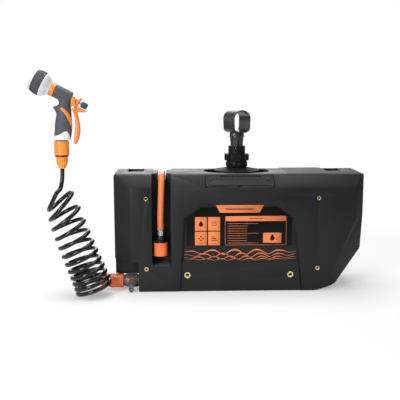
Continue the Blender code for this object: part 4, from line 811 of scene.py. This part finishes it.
def top_tread():
    """The thin pad on the tank's top, right of the cap, covered with round studs.

    Its height is base + thick + rise s(f), where f = cos(k x) + cos(k (x/2 + qy))
    + cos(k (x/2 - qy)) with q = sqrt(3)/2, and s runs smoothly from 0 to 1 over f from 0 to
    1.6. The margin is flat and the rim is a quarter round.
    """
    left, right, front, back = 0.1170, 0.2245, FRONT_Y + BAND_DEPTH - 0.0002, 0.0800
    base, thick, rise, pitch = TANK_HEIGHT - 0.0003, 0.0006, 0.0008, 0.0066
    margin, round_off = 0.0025, 0.0009
    x = np.linspace(left, right, 190)[:, None]
    y = np.linspace(front, back, 236)[None]
    q = math.sqrt(3) / 2
    k = TAU / (pitch * q)
    f = np.cos(k * x) + np.cos(k * (x / 2 + q * y)) + np.cos(k * (x / 2 - q * y))
    stud = np.clip(f / 1.6, 0, 1)
    stud = stud**2 * (3 - 2 * stud)
    inside = np.minimum(np.minimum(x - left, right - x), np.minimum(y - front, back - y))
    stud = stud * (inside > margin)
    edge = np.clip(inside / round_off, 0, 1)
    z = base + thick * np.sqrt(1 - (1 - edge) ** 2) + rise * stud
    verts = np.stack(np.broadcast_arrays(x, y, z), axis=-1).reshape(-1, 3)
    rows, columns = z.shape
    faces = grid_faces(rows, columns, False, False)[:, ::-1].tolist()
    index = np.arange(rows * columns).reshape(rows, columns)
    rim = np.concatenate([index[0, :-1], index[:-1, -1], index[-1, :0:-1], index[:0:-1, 0]])
    faces.append(rim.tolist())
    obj = build_mesh("top_tread", verts, faces, verts[:, :2])
    finish_piece(obj, finish="tread_grey", body="tank", slot="tank_plastic")


def bay_skirt():
    """The short skirt that hangs from the tap bay's ceiling behind the tap."""
    left, right, top, thick = -0.2995, -0.2448, 0.0405, 0.0030
    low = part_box("tap_body")[1][2] - 0.0045
    outline = oblong(left, low, right, top, 0.0006)
    obj = joined("bay_skirt", [carried(outline, 0.0, thick, front_place(-0.0270))])
    round_edges(obj, 0.0004)
    finish_piece(obj, finish="tank_plastic", body="tank", slot="tank_plastic")


# Turned pieces
def insert_bushings():
    """The six threaded brass bushings with their flanges and dark bores."""
    places = [(f"brass_insert_{level}_{side}", (x, FRONT_Y, z), 0.0052)
              for side, x in (("left", -0.226), ("right", 0.192))
              for level, z in (("upper", 0.2308), ("lower", 0.0578))]
    places += [(f"large_insert_{side}", (x, LOW_FACE_Y, 0.041), 0.0076)
               for side, x in (("left", -0.1264), ("right", 0.1264))]
    for node, spot, radius in places:
        bore, deep = 0.54 * radius, 1.04 * radius
        thread = [(bore + 0.0003 * (k % 2), 0.0006 - deep * k / 16) for k in range(17)]
        profile = [(0.70 * radius, -deep), (0.70 * radius, SEAT), (radius, SEAT),
                   (radius, SEAT + 0.0007, 0.0002), (radius - 0.0004, SEAT + 0.0010),
                   (bore + 0.0007, SEAT + 0.0010), *thread]
        turned_piece(node, profile, frame_at(spot, (0, -1, 0)), 72, 24)


def connector_skins(prefix, place):
    """A quick connector's core with its flange, its sleeve and its ribbed nut, as a list.

    Its place's z runs from the mouth to the hose.
    """
    sleeve = [(0.0149, 0.0004), (0.0155, 0.0), (0.0168, 0.0), (0.0176, 0.0008), (0.0177, 0.0020),
              (0.0175, 0.0100), (0.0173, 0.0200), (0.0174, 0.0270), (0.0177, 0.0312),
              (0.0177, 0.0319), (0.0173, 0.0325), (0.0169, 0.0325), (0.0168, 0.0289),
              (0.0149, 0.0289)]
    core = [(0.0083, 0.0008), (0.0141, 0.0008), (0.0145, 0.0012), (0.0145, 0.0328),
            (0.0158, 0.0328), (0.0163, 0.0333), (0.0163, 0.0341), (0.0158, 0.0346),
            (0.0158, 0.0352), (0.0161, 0.0355), (0.0161, 0.0360), (0.0157, 0.0363),
            (0.0095, 0.0363), (0.0095, 0.0440), (0.0030, 0.0440), (0.0030, 0.0250),
            (0.0083, 0.0250)]
    nut = [(0.0098, 0.0366), (0.0131, 0.0366), (0.0136, 0.0371), (0.0136, 0.0384, 0.0008),
           (0.0134, 0.0450, 0.0009), (0.0132, 0.0510, 0.0009), (0.0130, 0.0526, 0.0003),
           (0.0126, 0.0536), (0.0112, 0.0565), (0.0089, 0.0606), (0.0083, 0.0622),
           (0.0078, 0.0643), (0.0074, 0.0646), (0.0053, 0.0646), (0.0053, 0.0472),
           (0.0098, 0.0448)]
    return [turned_piece(f"{prefix}_sleeve", sleeve, place, 96),
            turned_piece(f"{prefix}_core", core, place, 72),
            turned_piece(f"{prefix}_nut", nut, place, 144, 18, 1.6)]


def fill_skins():
    """The filling hose's connector and clamps; what the hose's end carries, as a list."""
    place = frame_at(FILL_MOUTH, (0, 0, 1), (1, 0, 0))
    sleeve = [(0.0149, 0.0004), (0.0155, 0.0), (0.0167, 0.0), (0.0175, 0.0006), (0.0177, 0.0016),
              (0.0176, 0.0160), (0.0177, 0.0309), (0.0175, 0.0319), (0.0167, 0.0325),
              (0.0155, 0.0325), (0.0149, 0.0321)]
    core = [(0.0083, 0.0008), (0.0141, 0.0008), (0.0145, 0.0012), (0.0145, 0.0355),
            (0.0141, 0.0360), (0.0095, 0.0360), (0.0095, 0.0398), (0.0100, 0.0403),
            (0.0110, 0.0406), (0.0110, 0.0414), (0.0099, 0.0424), (0.0093, 0.0430),
            (0.0090, 0.0452), (0.0093, 0.0458), (0.0088, 0.0478), (0.0091, 0.0484),
            (0.0088, 0.0499), (0.0040, 0.0499), (0.0040, 0.0235), (0.0083, 0.0235)]
    ends = [turned_piece("fill_sleeve", sleeve, place, 96),
            turned_piece("fill_core", core, place, 72), skin_piece("fill_clamp", 0.0003, 2)]
    skin_piece("back_clamp", 0.0003, 2)
    return ends


# The place at the barrel's front end, with z out of it
BARREL = frame_at(BARREL_START, BARREL_OUT, (0, -1, 0))


def dial_skins():
    """The notched dial, its pale front ring, its face, and a nozzle cup in each spray hole."""
    body = lifted(DIAL_BACK, [
        (0.0210, 0.0), (0.0276, 0.0), (0.0284, 0.0005), (0.0287, 0.0020, 0.0003),
        (0.0290, 0.0045, 0.0012), (0.0290, 0.0085, 0.0012), (0.0284, 0.0130, 0.0012),
        (0.0275, 0.0168, 0.0012), (0.0264, 0.0205, 0.0010)])
    body += lifted(DIAL_FRONT, [(0.0259, -0.0056, 0.0004), (0.0256, -0.0052), (0.0230, -0.0050),
                                (0.0222, -0.0052), (0.0218, -0.0056)])
    turned_piece("gun_dial", body, BARREL, 240, 24, 3.0, closed=False)
    rim = lifted(DIAL_FRONT, [
        (0.0218, -0.0048), (0.0251, -0.0048), (0.0252, -0.0044, 0.0004),
        (0.0246, -0.0014, 0.0004), (0.0241, -0.0006), (0.0233, 0.0), (0.0224, 0.0),
        (0.0218, -0.0006)])
    finish_piece(joined("gun_dial_rim", [turned(rim, BARREL, 240, 24, 3.0)]),
                 finish="silver_plastic", body="dial", slot="silver_plastic")
    face = lifted(DIAL_FRONT, [
        (0.0211, -0.0027), (0.0214, -0.0022), (0.0214, -0.0009), (0.0208, -0.0005),
        (0.0186, -0.0005), (0.0182, -0.0010), (0.0108, -0.0010), (0.0104, -0.0005),
        (0.0072, -0.0005), (0.0066, -0.0012), (0.0042, -0.0012), (0.0038, -0.0003),
        (0.0012, -0.0003)])
    finish_piece(joined("gun_face_turned", [turned(face, BARREL, 72, closed=False)]),
                 "gun_dial_face")
    cup = lifted(DIAL_FRONT, [(0.0026, -0.0012), (0.0026, -0.0004), (0.0022, -0.0001),
                              (0.0014, -0.0001), (0.0010, -0.0010)])
    origin, axes = BARREL
    spots = origin + disc(0.0, 0.0, 0.0145, 8) @ axes[:2]
    cups = [turned(cup, (spot, axes), 24, closed=False) for spot in spots]
    finish_piece(joined("gun_nozzle_cups", cups), finish="dark_plastic", body="dial",
                 slot="grip_plastic")


def gun_head_skins():
    """The gun's ring, its swelling cone, its dial and the fluted flow knob."""
    ring = [(0.0110, 0.0003), (0.0150, 0.0003), (0.0161, 0.0010), (0.0163, 0.0020),
            (0.0163, 0.0084), (0.0161, 0.0094), (0.0150, 0.0101), (0.0110, 0.0101)]
    turned_piece("gun_ring", ring, BARREL, 72)
    swell = smooth_route([(0.0153, 0.0110), (0.0159, 0.0124), (0.0183, 0.0157),
                          (0.0229, 0.0208), (0.0266, 0.0263), (0.0280, 0.0302)], 34)
    cone = [(0.0110, 0.0107), (0.0148, 0.0107), *swell, (0.0280, 0.0308), (0.0240, 0.0308),
            (0.0140, 0.0190)]
    turned_piece("gun_cone", cone, BARREL, 96)
    dial_skins()
    knob = lifted(KNOB_START, [
        (0.0050, -0.0154), (0.0062, -0.0150), (0.0070, -0.0138, 0.0004),
        (0.0072, -0.0120, 0.0009), (0.0072, -0.0040, 0.0009), (0.0066, -0.0022, 0.0006),
        (0.0058, -0.0006), (0.0046, 0.0)])
    turned_piece("flow_knob", knob, BARREL, 144, 12, 2.0, closed=False)


# The grip's slices from the collar upwards: height, left edge, right edge, share of the depth
GRIP_SLICES = np.array((
    (0.0000, -0.4382, -0.3990, 1.03), (0.0082, -0.4368, -0.3972, 1.00),
    (0.0202, -0.4355, -0.3952, 1.00), (0.0342, -0.4346, -0.3940, 1.01),
    (0.0482, -0.4325, -0.3950, 1.00), (0.0592, -0.4303, -0.3955, 0.97),
    (0.0672, -0.4330, -0.3957, 0.94), (0.0727, -0.4368, -0.3957, 0.93),
    (0.0767, -0.4372, -0.3957, 0.92), (0.0792, -0.4300, -0.3957, 0.91),
    (0.0832, -0.4240, -0.3957, 0.90), (0.0912, -0.4250, -0.3957, 0.87),
    (0.0982, -0.4260, -0.3965, 0.80)))
# The seam between grip and collar: x and height
WAVE = np.array((
    (-0.4450, 0.3815), (-0.4303, 0.3842), (-0.4199, 0.3879), (-0.4123, 0.3923),
    (-0.4071, 0.3945), (-0.4034, 0.3930), (-0.4006, 0.3871), (-0.3971, 0.3789),
    (-0.3900, 0.3770)))
GRIP_FOOT = 0.3738
GRIP_TOP = GRIP_FOOT + GRIP_SLICES[-1, 0]
GRIP_DEPTH = 0.0160


def grip_form(steps, sides, swell, collar):
    """The grip, or its collar: rounded slices between the wavy seam and the form's own end.

    At height z the point at angle a is middle(z) + half(z) c^0.8 across and depth(z) s^0.8
    out, with c and s the cosine and sine and their signs kept. Row t runs at the height
    low + (high - low) t, where the seam's own height depends on the point's x.
    """
    heights, lefts, rights = smooth_route(GRIP_SLICES[:, :3], 160).T
    seam_line = smooth_route(WAVE, 120).T
    across, out = soft_section(sides, 0.8)
    t = np.linspace(0, 1, steps)[:, None]
    z = np.full((steps, sides), GRIP_FOOT + 0.010)
    for _ in range(5):
        h = z - GRIP_FOOT
        left = np.interp(h, heights, lefts) - swell
        right = np.interp(h, heights, rights) + swell
        x = (left + right) / 2 + (right - left) / 2 * across
        seam = np.interp(x, *seam_line)
        low, high = (GRIP_FOOT, seam) if collar else (seam + SEAT, GRIP_TOP)
        z = low + (high - low) * t
    deep = GRIP_DEPTH * np.interp(z - GRIP_FOOT, *GRIP_SLICES[:, [0, 3]].T) + swell
    verts = np.stack([x, GUN_Y + deep * out, z], axis=-1).reshape(-1, 3)
    return verts, tube_faces(steps, sides), verts[:, [0, 2]]


def gun_grip_skins():
    """The soft grip with its barrel, and the silver collar under it."""
    barrel = [(0.0120, -0.0400), (0.0143, -0.0400), (0.0152, -0.0394), (0.0155, -0.0382),
              (0.0155, -0.0040), (0.0155, -0.0012), (0.0151, -0.0003), (0.0110, -0.0003)]
    forms = [grip_form(110, 64, -0.0001, False), turned(barrel, BARREL, 72, closed=False)]
    finish_piece(joined("gun_cover", forms), "gun_body", sharp=50)
    collar = joined("gun_collar_turned", [grip_form(14, 64, 0.0004, True)])
    round_edges(collar, 0.0005)
    finish_piece(collar, "gun_collar")


# The trigger's blade: height, left edge, right edge; its head starts a little lower
HEAD_FOOT = 0.4372
BLADE_DEPTH = 0.0064
BLADE_ROUND_FROM, BLADE_ROUND = 0.3685, 0.0060
BLADE = np.array((
    (0.3635, -0.3903, -0.3871), (0.3652, -0.3918, -0.3845), (0.3690, -0.3916, -0.3824),
    (0.3755, -0.3911, -0.3798), (0.3841, -0.3903, -0.3772), (0.3960, -0.3887, -0.3756),
    (0.4078, -0.3870, -0.3759), (0.4182, -0.3877, -0.3770), (0.4256, -0.3884, -0.3787),
    (0.4340, -0.3903, -0.3806), (0.4395, -0.3916, -0.3806)))


def trigger_skins():
    """The trigger's forked head with rounded edges, and its blade as a soft rounded bar.

    The blade's point at height z and angle a is middle + half c^0.7 across and
    depth s^0.7 out, with c and s the cosine and sine and their signs kept.
    """
    finish_piece(skin_copy("trigger", "trigger_head", 0.0007, 3, above=HEAD_FOOT), "trigger")
    rows, sides = 90, 40
    z, left, right = smooth_route(BLADE, rows).T[:, :, None]
    across, out = soft_section(sides, 0.7)
    below = np.clip((BLADE_ROUND_FROM - z) / BLADE_ROUND, 0, 1)
    y = GUN_Y + BLADE_DEPTH * np.sqrt(1 - below**2) * out
    x = (left + right) / 2 + (right - left) / 2 * across
    verts = np.stack(np.broadcast_arrays(x, y, z), axis=-1).reshape(-1, 3)
    blade = build_mesh("trigger_blade", verts, tube_faces(rows, sides), verts[:, [0, 2]])
    finish_piece(blade, finish="trigger_orange", body="trigger", slot="orange_plastic", sharp=60)


def cap_skin():
    """The filler cap: the plug with two grooves, a knurled rim, a sloping top and the stub."""
    stub = CAP_RISE + HOLDER_RING_HEIGHT + HOLDER_NUT_HEIGHT + 2 * SEAT - 0.0007
    grooves = [(radius, low + h) for low in (-0.0145, -0.0055) for radius, h in (
        (0.0396, 0.0), (0.0388, 0.0007), (0.0388, 0.0027), (0.0396, 0.0035))]
    profile = [(0.0005, 0.003), (0.0366, 0.003), (0.0366, -0.0195), (0.0369, -0.020),
               (0.0392, -0.020), (0.0396, -0.0195), *grooves, (0.0396, 0.0), (0.0572, 0.0),
               (0.0579, 0.0004, 0.0006), (0.0580, 0.0015, 0.0008), (0.0577, 0.0025, 0.0005),
               (0.0568, 0.0031), (0.0558, 0.0031), (0.0549, 0.0028), (0.0520, 0.0034),
               (0.0400, 0.0062), (0.0300, 0.0084), (0.0280, 0.0090), (0.0200, 0.0090),
               (0.0195, 0.0092), (0.0195, stub - 0.0006), (0.0190, stub), (0.0155, stub),
               (0.0150, stub - 0.0005), (0.0150, 0.0075), (0.0005, 0.0075)]
    place = frame_at((0.0, AXIS_Y, TANK_HEIGHT + SEAT), (0, 0, 1), (1, 0, 0))
    turned_piece("filler_cap", profile, place, 240, 60, 1.5, closed=False)


def pin_and_screws():
    """The trigger's domed pin and the plate's two screws with their cross recesses."""
    pin = [(0.0016, -0.0098), (0.0020, -0.0097), (0.0022, -0.0094), (0.0022, 0.0101),
           (0.0034, 0.0101), (0.0036, 0.0103), (0.0034, 0.0107), (0.0028, 0.0109),
           (0.0016, 0.0110)]
    turned_piece("trigger_pin", pin, frame_at(TRIGGER_PIN, (0, -1, 0)), 48, closed=False)
    head, long, thin = 0.0009, 0.0019, 0.00035
    screw = [(0.0008, -0.0060), (0.0015, -0.0050)] + lifted(head, [
        (0.0015, 0.0), (0.0031, 0.0), (0.0032, 0.0003), (0.0028, 0.0010), (0.0021, 0.0013),
        (0.0013, 0.0013), (0.0010, 0.0008)])
    for node, x in (("plate_screw_left", -0.0695), ("plate_screw_right", 0.0695)):
        spot = band_place(x, 0.0175)
        arms = [carried(oblong(-a, -b, a, b, 0.0001), head + 0.00131, head + 0.00134, spot)
                for a, b in ((long, thin), (thin, long))]
        forms = [turned(screw, spot, 48, closed=False), *arms]
        finish_piece(joined(node + "_turned", forms), node)


# Skins of the CAD nodes whose edges are rounded: node, width, segments
SKINS = {
    "tank_shell": (0.0008, 3), "top_plate": (0.0006, 3), "label_plate": (0.0003, 2),
    "holder_ring": (0.0006, 3), "holder_nut": (0.0006, 3), "holder_socket": (0.0003, 2),
    "holder_loop": (0.0007, 3), "tap_body": (0.0005, 2), "tap_handle": (0.0005, 3),
    "tap_ring": (0.0004, 2), "gun_yoke": (0.0007, 3), "gun_inlay": (0.0002, 2),
}

place_camera()
gun_end = connector_skins("gun_connector", frame_at(GUN_MOUTH, (0, 0, -1), (1, 0, 0)))
tap_end = connector_skins("tap_connector", frame_at(TAP_MOUTH, (-1, 0, 0)))
fill_end = fill_skins()
spray_hose()
filling_hose()
light_studio()
white_world()
white_floor()
bpy.context.scene.view_settings.view_transform = "Standard"

for node, obj in NODES.items():
    obj.material_slots[0].material = MATS[finish_of(node)]
for node, (width, segments) in SKINS.items():
    skin_piece(node, width, segments)
label_print()
plate_marks()
top_tread()
bay_skirt()
insert_bushings()
gun_head_skins()
gun_grip_skins()
trigger_skins()
cap_skin()
pin_and_screws()
